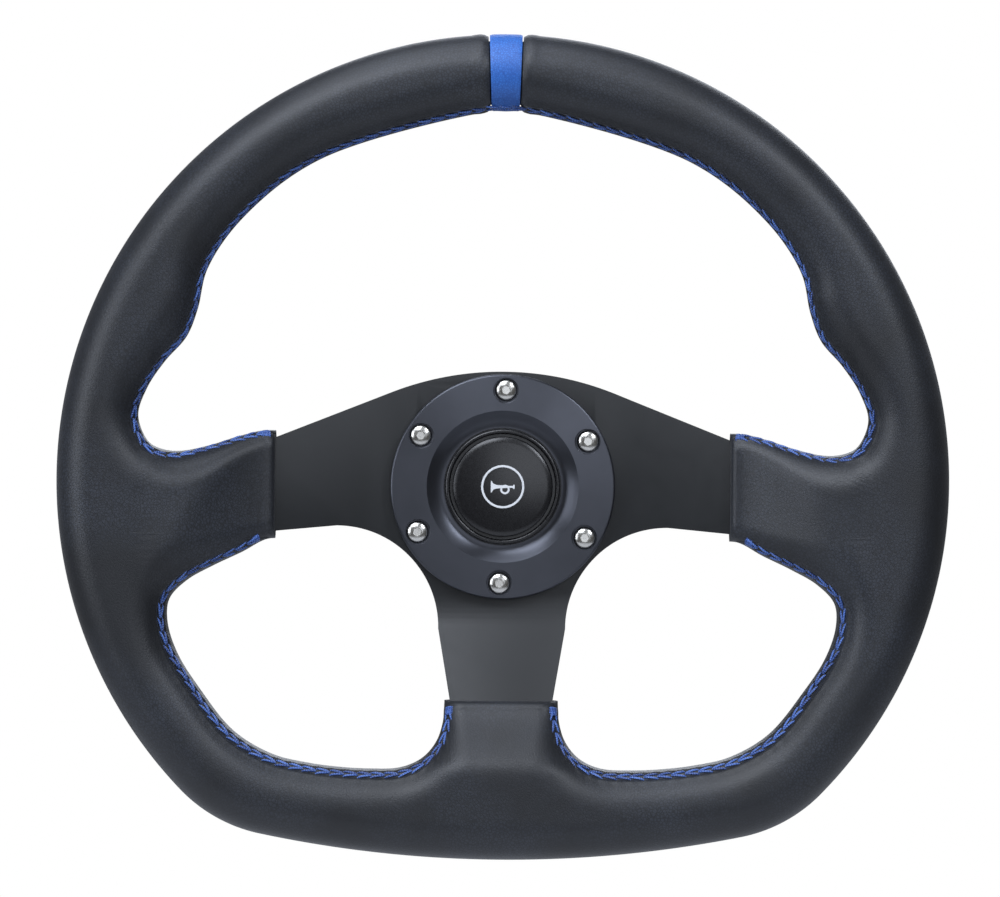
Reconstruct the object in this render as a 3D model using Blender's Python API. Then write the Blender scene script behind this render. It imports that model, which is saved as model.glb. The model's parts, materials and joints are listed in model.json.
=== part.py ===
"""Steering wheel with a flat-bottomed padded rim and a ball-lock quick release, in metres, +Z up.

The column axis is Y. The driver sits at -Y and the column is at +Y. The origin is on that axis, in the
rear face of the column base. The release collar is modelled held back, which is its unlocked place.
"""

import math

import bmesh
import bpy
import numpy as np
from mathutils import Vector

# Clearances
GAP = 0.0003
SLIDE_GAP = 0.0004
EDGE = 0.001

# Rim outline: a large circle above, a flat arc below and a corner arc on each side
RIM_RADIUS = 0.160
RIM_CENTRE_Z = 0.0022
RIM_FLAT = 0.0242
RIM_BOTTOM_RADIUS = 0.430
RIM_CORNER_RADIUS = 0.055

# Rim section
RIM_HALF_WIDTH = 0.0137
RIM_HALF_DEPTH = 0.0145
ROOT_HALF_DEPTH = 0.0065
LEATHER = 0.0013
FOAM_GAP = 0.001
ARMATURE_RADIUS = 0.005
STITCH_RADIUS = 0.0006
STRIPE_HALF_INNER = 0.0053
STRIPE_HALF_OUTER = 0.00635

# Where the padding ends on the two side spokes and on the lower spoke
SIDE_ROOT_X = 0.082
LOWER_ROOT_Z = -0.077
FOAM_SETBACK = 0.002
ROOT_BLEND = 0.036
SIDE_ROOT_FLANK = (0.030, 0.055)
LOWER_ROOT_FLANK = (0.026, 0.045)
SIDE_DISH_FLANK = (0.045, 0.070)
LOWER_DISH_FLANK = (0.030, 0.055)
TONGUE = 0.010
EDGE_STEP = 0.0033

# Spoke plate
PLATE_THICKNESS = 0.004
PLATE_DISH = 0.020
PLATE_BEND = 0.044
PLATE_BEND_END_X = 0.126
PLATE_BEND_END_Z = 0.0996
PLATE_TOP_Z = 0.0417
PLATE_TOP_RADIUS = 0.110
PLATE_TOP_SPAN = 0.041
PLATE_FILLET = 0.037
ARM_TOP_Z = 0.0142
ARM_TIP_TOP_Z = 0.0072
ARM_TIP_LOW_Z = -0.0120
ARM_LOW_Z = -0.0145
ARM_NECK = 0.006
ARM_TIP = 0.033
SPOKE_HALF_WIDTH = 0.023
SPOKE_NECK_HALF = 0.0185
SPOKE_TIP_HALF = 0.015

# Six-screw pattern that the base, the hub, the plate and the trim ring share
PATTERN_RADIUS = 0.035
PATTERN_COUNT = 6
PATTERN_TURN = math.radians(-1.6)
SCREW_SHANK_RADIUS = 0.0025
SCREW_HEAD_RADIUS = 0.004
SCREW_HEAD_HEIGHT = 0.0024
SCREW_SOCKET_RADIUS = 0.00155
SCREW_SOCKET_DEPTH = 0.0014
COUNTERBORE_RADIUS = SCREW_HEAD_RADIUS + 0.00045
COUNTERBORE_DEPTH = SCREW_HEAD_HEIGHT + 0.0007

# Column base
FLANGE_RADIUS = PATTERN_RADIUS + 0.006
BASE_FLANGE = 0.008
BASE_COUNTERBORE_RADIUS = 0.005
BASE_COUNTERBORE_DEPTH = 0.0053
BOSS_RADIUS = 0.020
BORE_RADIUS = 0.0125
BOSS_LENGTH = 0.042
NOSE_CHAMFER = 0.0015
SPLINE_COUNT = 6
SPLINE_HEIGHT = 0.0016
SPLINE_WIDTH = 0.006
SPLINE_LENGTH = 0.012
INSULATOR_MARGIN = 0.0005
INSULATOR_SETBACK = 0.0014
INSULATOR_THICKNESS = 0.001
CONTACT_MARGIN = 0.001
CONTACT_THICKNESS = 0.0006

# Quick-release hub on the wheel
SLEEVE_WALL = 0.0047
SLEEVE_CLEARANCE = 0.0013
NOSE_ROOM = 0.004
WEB_THICKNESS = 0.003
WEB_SETBACK = 0.009
HUB_FLANGE = 0.007
HOLLOW_STEP = 0.0007
WIRE_HOLE_RADIUS = 0.006

# Ball lock: six balls in the sleeve's holes, and a collar whose cone pushes them into the base's groove
BALL_RADIUS = 0.004
BALL_COUNT = 6
BALL_Y = -0.028
BALL_TRAVEL = 0.0023
BALL_HOLE_DEPTH = 0.016
COLLAR_TRAVEL = 0.006
COLLAR_WALL = 0.006
COLLAR_LENGTH = 0.034
COLLAR_EDGE = 0.0015
COLLAR_TAPER = 0.006
COLLAR_LIP = 0.003
SPRING_POCKET = 0.010
FLUTE_COUNT = 12
FLUTE_RADIUS = 0.003
FLUTE_OUTSET = 0.0018
FLUTE_START = 0.012
FLUTE_END = 0.004
SNAP_RING_THICKNESS = 0.0015
SNAP_RING_SETBACK = 0.0143
SNAP_RING_BITE = 0.0012
SNAP_RING_PROUD = 0.0038
SNAP_RING_OPENING = 0.008
COLLAR_SPRING_WIRE = 0.0009
COLLAR_SPRING_ROOM = 0.003
COLLAR_SPRING_TURNS = 4

# Horn push: a cap in a housing, with its contacts behind it
CAP_RADIUS = 0.0181
CAP_TRAVEL = 0.0018
CAP_SETBACK = 0.0012
CAP_CROWN = 0.0013
CAP_CHAMFER = 0.0018
CAP_WALL = 0.002
CAP_STEM_RADIUS = 0.0045
CAP_FLANGE = 0.0015
LIP_RADIUS = CAP_RADIUS + 0.0009
LIP_HEIGHT = 0.0019
LIP_SETBACK = 0.0004
CAP_FLANGE_RADIUS = CAP_RADIUS + 0.0015
HOUSING_WALL = 0.0009
HOUSING_SHOULDER = 0.0047
HOUSING_LEDGE = 0.0008
HOUSING_SKIRT = 0.0018
EMBLEM_INNER = 0.0070
EMBLEM_OUTER = 0.0078
EMBLEM_THICKNESS = 0.0004
CONTACT_DISC_INNER = 0.0020
CONTACT_DISC_RADIUS = 0.0130
CONTACT_DISC_DROP = 0.0009
BOARD_SETBACK = 0.0014
BOARD_THICKNESS = 0.0016
RIVET_PLACE = 0.0100
RIVET_RADIUS = 0.0015
RIVET_HEAD_RADIUS = 0.0026
STRIP_END = 0.0012
STRIP_HALF_WIDTH = 0.0025
HORN_SPRING_RADIUS = 0.0062
HORN_SPRING_WIRE = 0.00045
HORN_SPRING_TURNS = 3
PIN_RADIUS = 0.0015
PIN_HEAD_RADIUS = 0.0026
PIN_HEAD = 0.0010
PIN_NOSE = 0.0006
PIN_BUSH_RADIUS = 0.0031
PIN_BUSH_HEAD = 0.0012
PIN_SPRING_RADIUS = 0.0019
PIN_SPRING_WIRE = 0.0003
PIN_SPRING_TURNS = 4

# Trim ring round the horn push
RING_THICKNESS = 0.0052
RING_RADIUS = PATTERN_RADIUS + 0.0057
RING_EDGE = 0.0009
RING_COVE_WIDTH = 0.0062
RING_COVE_DEPTH = 0.0034

SEGMENTS = 24

# Places and radii that follow from the sizes above
RIM_BOTTOM_Z = RIM_CENTRE_Z - RIM_RADIUS + RIM_FLAT
SIDE_REACH = RIM_RADIUS - SIDE_ROOT_X
LOWER_REACH = LOWER_ROOT_Z - RIM_BOTTOM_Z
NOSE_Y = -BOSS_LENGTH
SPLINE_END_Y = -BASE_FLANGE - SPLINE_LENGTH
INSULATOR_INNER = BORE_RADIUS + INSULATOR_MARGIN
INSULATOR_OUTER = BOSS_RADIUS - INSULATOR_SETBACK
CONTACT_INNER = INSULATOR_INNER + CONTACT_MARGIN
CONTACT_OUTER = INSULATOR_OUTER - CONTACT_MARGIN
PIN_PLACE = (CONTACT_INNER + CONTACT_OUTER) / 2
PIN_SPRING_REACH = PIN_PLACE + PIN_SPRING_RADIUS + PIN_SPRING_WIRE + GAP
HOUSING_BORE_RADIUS = max(CAP_FLANGE_RADIUS + SLIDE_GAP, PIN_SPRING_REACH + HOUSING_LEDGE)
RING_HOLE_RADIUS = HOUSING_BORE_RADIUS + HOUSING_WALL + SLIDE_GAP
SLEEVE_BORE_RADIUS = BOSS_RADIUS + GAP
SLEEVE_RADIUS = SLEEVE_BORE_RADIUS + SLEEVE_WALL
SLEEVE_REAR_Y = -BASE_FLANGE - SLEEVE_CLEARANCE
WEB_REAR_Y = NOSE_Y - NOSE_ROOM
WEB_FRONT_Y = WEB_REAR_Y - WEB_THICKNESS
HUB_FLANGE_REAR_Y = WEB_REAR_Y - WEB_SETBACK
HUB_FRONT_Y = HUB_FLANGE_REAR_Y - HUB_FLANGE
HUB_HOLLOW_RADIUS = RING_HOLE_RADIUS + HOLLOW_STEP
BALL_FREE_RADIUS = BOSS_RADIUS + BALL_RADIUS + SLIDE_GAP
BALL_LOCKED_RADIUS = BALL_FREE_RADIUS - BALL_TRAVEL
COLLAR_LAND_RADIUS = SLEEVE_RADIUS + SLIDE_GAP
COLLAR_POCKET_RADIUS = BALL_FREE_RADIUS + BALL_RADIUS + 2 * GAP
COLLAR_RADIUS = COLLAR_POCKET_RADIUS + COLLAR_WALL
COLLAR_SPRING_RADIUS = SLEEVE_RADIUS + COLLAR_SPRING_ROOM
SNAP_RING_FRONT_Y = BALL_Y + SNAP_RING_SETBACK
SNAP_RING_REAR_Y = SNAP_RING_FRONT_Y + SNAP_RING_THICKNESS
SNAP_GROOVE_RADIUS = SLEEVE_RADIUS - SNAP_RING_BITE
PLATE_HOLE_RADIUS = HUB_HOLLOW_RADIUS + HOUSING_SHOULDER + GAP
PLATE_BACK_Y = HUB_FRONT_Y - GAP
PLATE_FRONT_Y = PLATE_BACK_Y - PLATE_THICKNESS
PLATE_MID_Y = (PLATE_BACK_Y + PLATE_FRONT_Y) / 2
RIM_Y = PLATE_MID_Y - PLATE_DISH
RING_BACK_Y = PLATE_FRONT_Y - GAP
RING_FRONT_Y = RING_BACK_Y - RING_THICKNESS

# Inner edge of the padding on the right half, from the stripe down to the lower spoke. A row on the rim
# is the direction, in degrees, in which the outline faces at the other end of that section, the width of
# the padding there, and how far the row slips along it
UPPER_EDGE = (
    (60.0, 0.0274, 0.0),
    (45.0, 0.0274, 0.0),
    (35.5, 0.0296, -0.0005),
    (29.0, 0.0343, 0.0002),
    (24.0, 0.0352, 0.0002),
    (18.5, 0.0314, 0.0013),
    (13.5, 0.0281, 0.0014),
    (7.0, 0.0273, 0.0064),
    (2.5, 0.0322, 0.0078),
    (0.9, 0.0374, 0.0085),
)
# A row on the side root is its distance out from SIDE_ROOT_X, its height, and that direction
SIDE_ROOT_EDGE = (
    (0.453 * SIDE_REACH, 0.0118, -0.6),
    (0.297 * SIDE_REACH, 0.0143, -1.8),
    (0.141 * SIDE_REACH, 0.0182, -2.8),
    (EDGE_STEP, 0.0198, -3.5),
    (-0.6 * TONGUE, 0.0184, -3.9),
    (-TONGUE, 0.0090, -4.5),
    (-TONGUE, -0.0090, -5.8),
    (-0.6 * TONGUE, -0.0182, -6.4),
    (EDGE_STEP, -0.0196, -6.9),
    (0.149 * SIDE_REACH, -0.0241, -8.0),
    (0.285 * SIDE_REACH, -0.0292, -9.8),
)
LOWER_EDGE = (
    (-12.3, 0.0416, -0.0116),
    (-15.0, 0.0336, -0.0108),
    (-19.0, 0.0299, -0.0093),
    (-24.5, 0.0282, -0.0083),
    (-33.0, 0.0283, -0.0036),
    (-46.0, 0.0284, 0.0030),
    (-62.0, 0.0295, -0.0060),
    (-76.0, 0.0289, -0.0124),
    (-80.6, 0.0287, -0.0075),
    (-82.2, 0.0296, -0.0073),
    (-83.8, 0.0313, -0.0071),
)
# A row on the lower root is its distance from the middle, its height above LOWER_ROOT_Z, and that direction
LOWER_ROOT_EDGE = (
    (0.0280, -0.357 * LOWER_REACH, -85.0),
    (0.0230, -0.251 * LOWER_REACH, -86.0),
    (0.0208, -0.124 * LOWER_REACH, -87.0),
    (0.0206, -EDGE_STEP, -87.7),
    (0.0190, 0.6 * TONGUE, -88.2),
    (0.0095, TONGUE, -89.1),
    (0.0, TONGUE, -90.0),
)
SIDE_ROOT_TOP = 15
SIDE_ROOT_LOW = 20
LOWER_ROOT = 37

SECTION_STEPS = (0.0022, 0.0080)
STATION_SPACING = 0.024

MATERIALS = {
    "leather": ((0.045, 0.050, 0.060), 0.55, 0.0),
    "blue_leather": ((0.045, 0.190, 0.560), 0.50, 0.0),
    "thread": ((0.030, 0.130, 0.420), 0.75, 0.0),
    "foam": ((0.020, 0.020, 0.022), 0.90, 0.0),
    "steel": ((0.420, 0.430, 0.450), 0.40, 1.0),
    "black_paint": ((0.020, 0.022, 0.024), 0.45, 0.0),
    "black_anodised": ((0.050, 0.053, 0.060), 0.35, 0.9),
    "silver_anodised": ((0.550, 0.560, 0.580), 0.35, 1.0),
    "screw_steel": ((0.600, 0.610, 0.630), 0.25, 1.0),
    "gloss_black": ((0.010, 0.010, 0.012), 0.12, 0.0),
    "matte_black": ((0.015, 0.015, 0.016), 0.60, 0.0),
    "brass": ((0.720, 0.500, 0.200), 0.30, 1.0),
    "grey_plastic": ((0.250, 0.255, 0.265), 0.50, 0.0),
}


# ---------------------------------------------------------------- scene helpers


def clear_scene():
    for obj in list(bpy.data.objects):
        bpy.data.objects.remove(obj, do_unlink=True)


def make_material(name):
    colour, roughness, metallic = MATERIALS[name]
    material = bpy.data.materials.new(name)
    material.use_nodes = True
    shader = material.node_tree.nodes["Principled BSDF"]
    shader.inputs["Base Color"].default_value = (*colour, 1.0)
    shader.inputs["Roughness"].default_value = roughness
    shader.inputs["Metallic"].default_value = metallic
    return material


def make_body(name):
    """An empty on the column axis, on which this body's pieces slide."""
    empty = bpy.data.objects.new(name, None)
    bpy.context.scene.collection.objects.link(empty)
    return empty


def place_object(name, data, material, body, place):
    obj = bpy.data.objects.new(name, data)
    obj.location = place
    obj.parent = body
    if material:
        data.materials.append(bpy.data.materials[material])
    bpy.context.scene.collection.objects.link(obj)
    return obj


def finish(name, bm, material=None, body=None, place=(0.0, 0.0, 0.0)):
    """Turns a bmesh into a shaded object. With no material it is a cutter or another hidden helper."""
    bmesh.ops.remove_doubles(bm, verts=bm.verts, dist=1e-7)
    bmesh.ops.recalc_face_normals(bm, faces=bm.faces)
    if bm.calc_volume(signed=True) < 0:
        bmesh.ops.reverse_faces(bm, faces=bm.faces)
    mesh = bpy.data.meshes.new(name)
    bm.to_mesh(mesh)
    bm.free()
    mesh.shade_smooth()
    mesh.set_sharp_from_angle(angle=math.radians(35))
    obj = place_object(name, mesh, material, body, place)
    if not material:
        obj.hide_render = True
        obj.display_type = "WIRE"
    return obj


def combine(obj, other, operation):
    modifier = obj.modifiers.new(f"{operation.lower()} {other.name}", "BOOLEAN")
    modifier.operation = operation
    modifier.solver = "EXACT"
    modifier.object = other


def cut(obj, *cutters):
    for cutter in cutters:
        combine(obj, cutter, "DIFFERENCE")


# ---------------------------------------------------------------- shape helpers


def turned_mesh(profile, steps=SEGMENTS):
    """A closed profile of (radius, y) points spun round the Y axis."""
    bm = bmesh.new()
    verts = [bm.verts.new((radius, y, 0.0)) for radius, y in profile]
    edges = [bm.edges.new((a, b)) for a, b in zip(verts, verts[1:] + verts[:1])]
    bmesh.ops.spin(
        bm, geom=verts + edges, axis=(0, 1, 0), cent=(0, 0, 0), angle=math.tau, steps=steps, use_merge=True
    )
    bmesh.ops.remove_doubles(bm, verts=bm.verts, dist=1e-7)
    bmesh.ops.dissolve_degenerate(bm, dist=1e-7, edges=bm.edges)
    return bm


def turned(name, profile, material=None, body=None, place=(0.0, 0.0, 0.0), steps=SEGMENTS):
    return finish(name, turned_mesh(profile, steps), material, body, place)


def tube_profile(inner, outer, y_low, y_high):
    return ((inner, y_low), (outer, y_low), (outer, y_high), (inner, y_high))


def prism_mesh(bm, outline, y_low, y_high):
    """Adds an outline of (x, z) points extruded from one y to another."""
    face = bm.faces.new([bm.verts.new((x, y_low, z)) for x, z in outline])
    extruded = bmesh.ops.extrude_face_region(bm, geom=[face])
    moved = [item for item in extruded["geom"] if isinstance(item, bmesh.types.BMVert)]
    bmesh.ops.translate(bm, verts=moved, vec=(0.0, y_high - y_low, 0.0))


def circle_points(centre, radius, count, turn=0.0):
    angles = [turn + math.tau * k / count for k in range(count)]
    return [(centre[0] + radius * math.cos(a), centre[1] + radius * math.sin(a)) for a in angles]


def pattern_places():
    return circle_points((0.0, 0.0), PATTERN_RADIUS, PATTERN_COUNT, math.pi / 2 + PATTERN_TURN)


def hole_cutter(name, places, radius, y_low, y_high, sides=8):
    bm = bmesh.new()
    for place in places:
        prism_mesh(bm, circle_points(place, radius, sides), y_low, y_high)
    return finish(name, bm)


def box_cutter(name, low, high):
    bm = bmesh.new()
    outline = ((low[0], low[2]), (high[0], low[2]), (high[0], high[2]), (low[0], high[2]))
    prism_mesh(bm, outline, low[1], high[1])
    return finish(name, bm)


def tube_along(name, points, radius, material, body, place=(0.0, 0.0, 0.0), cyclic=False):
    """A thin tube of four sides along a line of points, with filled ends."""
    curve = bpy.data.curves.new(name, "CURVE")
    curve.dimensions = "3D"
    curve.bevel_depth = radius
    curve.bevel_resolution = 0
    curve.use_fill_caps = not cyclic
    spline = curve.splines.new("POLY")
    spline.points.add(len(points) - 1)
    for point, co in zip(spline.points, points):
        point.co = (*co, 1.0)
    spline.use_cyclic_u = cyclic
    return place_object(name, curve, material, body, place)


def spring(name, radius, wire, y_low, y_high, turns, body, place=(0.0, 0.0, 0.0), steps=12):
    """A compression spring whose coil fills the height between two seats."""
    count = turns * steps
    low = y_low + wire
    rise = (y_high - y_low - 2 * wire) / count
    points = [
        (radius * math.cos(math.tau * k / steps), low + rise * k, radius * math.sin(math.tau * k / steps))
        for k in range(count + 1)
    ]
    return tube_along(name, points, wire, "steel", body, place)


# ---------------------------------------------------------------- rim geometry


def outline_arcs():
    """Centre and radius of the top, corner and bottom arcs, and the two directions where they meet."""
    bottom_z = RIM_BOTTOM_Z + RIM_BOTTOM_RADIUS
    to_top = RIM_RADIUS - RIM_CORNER_RADIUS
    to_bottom = RIM_BOTTOM_RADIUS - RIM_CORNER_RADIUS
    span = bottom_z - RIM_CENTRE_Z
    drop = (to_bottom**2 - to_top**2 - span**2) / (2 * span)
    corner = (math.sqrt(to_top**2 - drop**2), RIM_CENTRE_Z - drop)
    first = math.degrees(math.atan2(-drop, corner[0]))
    second = math.degrees(math.atan2(corner[1] - bottom_z, corner[0]))
    arcs = (
        ((0.0, RIM_CENTRE_Z), RIM_RADIUS),
        (corner, RIM_CORNER_RADIUS),
        ((0.0, bottom_z), RIM_BOTTOM_RADIUS),
    )
    return arcs, first, second


ARCS, CORNER_START, CORNER_END = outline_arcs()


def outline_point(direction, inset=0.0):
    """The point of the right half of the outline where it faces this way, moved inwards."""
    if direction > CORNER_START:
        centre, radius = ARCS[0]
    elif direction > CORNER_END:
        centre, radius = ARCS[1]
    else:
        centre, radius = ARCS[2]
    angle = math.radians(direction)
    reach = radius - inset
    return np.array((centre[0] + reach * math.cos(angle), centre[1] + reach * math.sin(angle)))


def on_rim(direction, width, slip):
    """A row of the inner edge that is placed from the outline: its x and z, and the direction."""
    angle = math.radians(direction)
    x, z = outline_point(direction, width) + slip * np.array((-math.sin(angle), math.cos(angle)))
    return x, z, direction


def inner_edge():
    """Every row of the inner edge on the right half, as x, z and the outline's direction."""
    clear = RIM_RADIUS - 2 * RIM_HALF_WIDTH
    stripe_z = RIM_CENTRE_Z + math.sqrt(clear**2 - STRIPE_HALF_INNER**2)
    stripe_direction = math.degrees(math.acos(STRIPE_HALF_OUTER / RIM_RADIUS))
    rows = [(0.0, RIM_CENTRE_Z + clear, 90.0), (STRIPE_HALF_INNER, stripe_z, stripe_direction)]
    rows += [on_rim(*row) for row in UPPER_EDGE]
    rows += [(SIDE_ROOT_X + out, z, direction) for out, z, direction in SIDE_ROOT_EDGE]
    rows += [on_rim(*row) for row in LOWER_EDGE]
    rows += [(x, LOWER_ROOT_Z + up, direction) for x, up, direction in LOWER_ROOT_EDGE]
    return rows


INNER_EDGE = inner_edge()


def mirrored(point, side):
    return np.array((point[0] * side, *point[1:]))


def station(u):
    """Inner-edge point, its normal towards the padding, and the outline's direction, at a place u that
    counts the points of INNER_EDGE. A negative u is on the left half."""
    side = -1.0 if u < 0 else 1.0
    u = min(abs(u), len(INNER_EDGE) - 1)
    k = min(int(u), len(INNER_EDGE) - 2)
    t = u - k
    rows = [np.array(INNER_EDGE[max(0, min(len(INNER_EDGE) - 1, k + step))]) for step in (-1, 0, 1, 2)]
    if k == 0:
        rows[0] = rows[2] * (-1, 1, 1) + (0, 0, 2 * (90 - rows[2][2]))
    if k == len(INNER_EDGE) - 2:
        rows[3] = rows[1] * (-1, 1, 1) + (0, 0, 2 * (-90 - rows[1][2]))
    a, b, c, d = rows
    lengths = [max(np.linalg.norm(q[:2] - p[:2]), 1e-6) ** 0.5 for p, q in ((a, b), (b, c), (c, d))]
    start = (c - b) - (c - a) * lengths[1] / (lengths[0] + lengths[1]) + (b - a) * lengths[1] / lengths[0]
    end = (c - b) - (d - b) * lengths[1] / (lengths[1] + lengths[2]) + (d - c) * lengths[1] / lengths[2]
    place = (
        (2 * t**3 - 3 * t**2 + 1) * b + (t**3 - 2 * t**2 + t) * start
        + (3 * t**2 - 2 * t**3) * c + (t**3 - t**2) * end
    )
    slope = (6 * t**2 - 6 * t) * (b - c) + (3 * t**2 - 4 * t + 1) * start + (3 * t**2 - 2 * t) * end
    along = slope[:2] / max(np.linalg.norm(slope[:2]), 1e-12)
    normal = np.array((-along[1], along[0]))
    return mirrored(place[:2], side), mirrored(normal, side), place[2], side


def loop_points(count_per_step=8):
    """A dense closed line along the inner edge, and one along the outer outline."""
    last = len(INNER_EDGE) - 1
    steps = np.linspace(0, last, last * count_per_step + 1)
    right = [station(u)[0] for u in steps]
    inner = np.array(right + [mirrored(p, -1) for p in reversed(right[1:-1])])
    turns = np.linspace(90, -90, 241)
    right = [outline_point(a) for a in turns]
    outer = np.array(right + [mirrored(p, -1) for p in reversed(right[1:-1])])
    return inner, outer


INNER_LOOP, OUTER_LOOP = loop_points()


def distance_to(loop, point):
    ends = np.roll(loop, -1, axis=0)
    span = ends - loop
    t = np.clip(((point - loop) * span).sum(1) / (span**2).sum(1), 0, 1)
    return float(np.linalg.norm(loop + span * t[:, None] - point, axis=1).min())


def smooth(low, high, value):
    t = min(max((value - low) / (high - low), 0.0), 1.0)
    return t * t * (3 - 2 * t)


def dish(x, z):
    """How far the plate and the padding round it have risen towards the driver, from 0 to 1."""
    across = (abs(x) - PLATE_BEND) / (PLATE_BEND_END_X - PLATE_BEND)
    down = (-z - PLATE_BEND) / (PLATE_BEND_END_Z - PLATE_BEND)
    return min(max(across, down, 0.0), 1.0)


def root_share(x, z):
    """1 at the padding's ends on the spokes, falling to 0 where the round rim begins."""
    side = 1 - smooth(SIDE_ROOT_X, SIDE_ROOT_X + ROOT_BLEND, abs(x))
    side *= 1 - smooth(*SIDE_ROOT_FLANK, abs(z))
    low = 1 - smooth(-LOWER_ROOT_Z, -LOWER_ROOT_Z + 0.7 * ROOT_BLEND, -z)
    low *= 1 - smooth(*LOWER_ROOT_FLANK, abs(x))
    return max(side, low if z < 0 else 0.0)


def middle_y(x, z):
    """The height of the padding's middle surface: the plate's inside the roots, the rim plane elsewhere."""
    side = (1 - dish(x, 0.0)) * (1 - smooth(*SIDE_DISH_FLANK, abs(z)))
    low = (1 - dish(0.0, z)) * (1 - smooth(*LOWER_DISH_FLANK, abs(x)))
    return RIM_Y + PLATE_DISH * max(side if abs(x) > PLATE_BEND else 0.0, low if z < -PLATE_BEND else 0.0)


def section(u, inset):
    """The ring of points of one rim section, moved inwards from the outer surface. It starts on the
    inner edge and comes back along the column side."""
    inner, normal, direction, side = station(u)
    start = inner + normal * inset
    end = mirrored(outline_point(direction, inset), side)
    length = float(np.linalg.norm(end - start))
    near = [step / length for step in SECTION_STEPS]
    shares = [0.0, *near, 0.5, *[1 - share for share in reversed(near)], 1.0]
    front, back = [], []
    for share in shares:
        x, z = start + (end - start) * share
        point = np.array((x, z))
        depth = min(distance_to(INNER_LOOP, point), distance_to(OUTER_LOOP, point)) - inset
        blend = root_share(x, z)
        width = RIM_HALF_WIDTH + (ROOT_HALF_DEPTH - RIM_HALF_WIDTH) * blend - inset
        rise = RIM_HALF_DEPTH + (ROOT_HALF_DEPTH - RIM_HALF_DEPTH) * blend - inset
        fall = 1 - min(max(depth / width, 0.0), 1.0)
        height = 0.0 if share in (0.0, 1.0) else rise * math.sqrt(1 - fall * fall)
        front.append((x, middle_y(x, z) - height, z))
        back.append((x, middle_y(x, z) + height, z))
    return front + back[-2:0:-1]


def station_places(first, last):
    """Places u from first to last, about evenly spaced along the padding, with every edge point kept."""
    stops = sorted({first, last, *[k for k in range(math.ceil(first), math.floor(last) + 1)]})
    places = [stops[0]]
    for a, b in zip(stops, stops[1:]):
        length = float(np.linalg.norm(station(b)[0] - station(a)[0]))
        count = max(1, round(length / STATION_SPACING))
        places += [a + (b - a) * (k + 1) / count for k in range(count)]
    return places


def bridge(bm, pairs):
    """Triangles between pairs of rings. Each quad splits the same way in every layer and on both
    halves, so that neighbouring layers stay the same distance apart."""
    for a, b in pairs:
        for k in range(len(a)):
            n = (k + 1) % len(a)
            if a[k].co.x + b[n].co.x < 0 and a[k].co.x + b[k].co.x < 0:
                bm.faces.new((a[k], a[n], b[k]))
                bm.faces.new((a[n], b[n], b[k]))
            else:
                bm.faces.new((a[k], a[n], b[n]))
                bm.faces.new((a[k], b[n], b[k]))


def skin_mesh(rings, closed):
    """Faces between neighbouring rings of points."""
    bm = bmesh.new()
    rows = [[bm.verts.new(p) for p in ring] for ring in rings]
    bridge(bm, list(zip(rows, rows[1:] + rows[:1])) if closed else list(zip(rows, rows[1:])))
    return bm, rows


def shell_mesh(places):
    """A cover of even thickness over these rim sections, with closed end edges."""
    bm, outer = skin_mesh([section(u, 0.0) for u in places], closed=False)
    inner = [[bm.verts.new(p) for p in section(u, LEATHER)] for u in places]
    bridge(bm, list(zip(inner, inner[1:])))
    bridge(bm, [(outer[0], inner[0]), (inner[-1], outer[-1])])
    return bm


def ring_tube(name, radius, material=None, body=None):
    """A round tube along the middle of the rim section, all the way round."""
    directions = [*np.linspace(90, CORNER_START, 16), *np.linspace(CORNER_START, CORNER_END, 4)[1:]]
    directions += [*np.linspace(CORNER_END, -90, 4)[1:]]
    rings = []
    for side, row in ((1, directions), (-1, directions[-2:0:-1])):
        for direction in row:
            centre = outline_point(direction, RIM_HALF_WIDTH)
            out = np.array((math.cos(math.radians(direction)), math.sin(math.radians(direction))))
            ring = []
            for k in range(8):
                angle = math.tau * k / 8
                place = mirrored(centre + out * radius * math.cos(angle), side)
                ring.append((place[0], RIM_Y + radius * math.sin(angle), place[1]))
            rings.append(ring)
    bm, _ = skin_mesh(rings, closed=True)
    return finish(name, bm, material, body)


def end_cutters(label, setback):
    """Boxes that cut the padding off at the side roots and at the lower root."""
    reach = SIDE_ROOT_X + setback
    low, high = RIM_Y - 2 * PLATE_DISH, RIM_Y + 2 * PLATE_DISH
    side = (SIDE_ROOT_X - 2 * TONGUE, 2 * SPOKE_HALF_WIDTH)
    right = box_cutter(f"{label}_end_right", (side[0], low, -side[1]), (reach, high, side[1]))
    left = box_cutter(f"{label}_end_left", (-reach, low, -side[1]), (-side[0], high, side[1]))
    corner = (side[1], high, LOWER_ROOT_Z + 2 * TONGUE)
    lower = box_cutter(f"{label}_end_lower", (-side[1], low, LOWER_ROOT_Z - setback), corner)
    return right, left, lower


# ---------------------------------------------------------------- rim parts


def stitch_line(u_list):
    """A line that lies on the driver's side of the padding, just inside its inner edge."""
    return [section(u, -(STITCH_RADIUS + SLIDE_GAP))[1] for u in u_list]


def build_stitches(body):
    upper = station_places(0, SIDE_ROOT_TOP - 0.25)
    line = [-u for u in upper[:0:-1]] + upper
    tube_along("stitch_upper", stitch_line(line), STITCH_RADIUS, "thread", body)
    lower = station_places(SIDE_ROOT_LOW + 0.25, LOWER_ROOT - 0.3)
    tube_along("stitch_lower_right", stitch_line(lower), STITCH_RADIUS, "thread", body)
    tube_along("stitch_lower_left", stitch_line([-u for u in lower]), STITCH_RADIUS, "thread", body)


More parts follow.
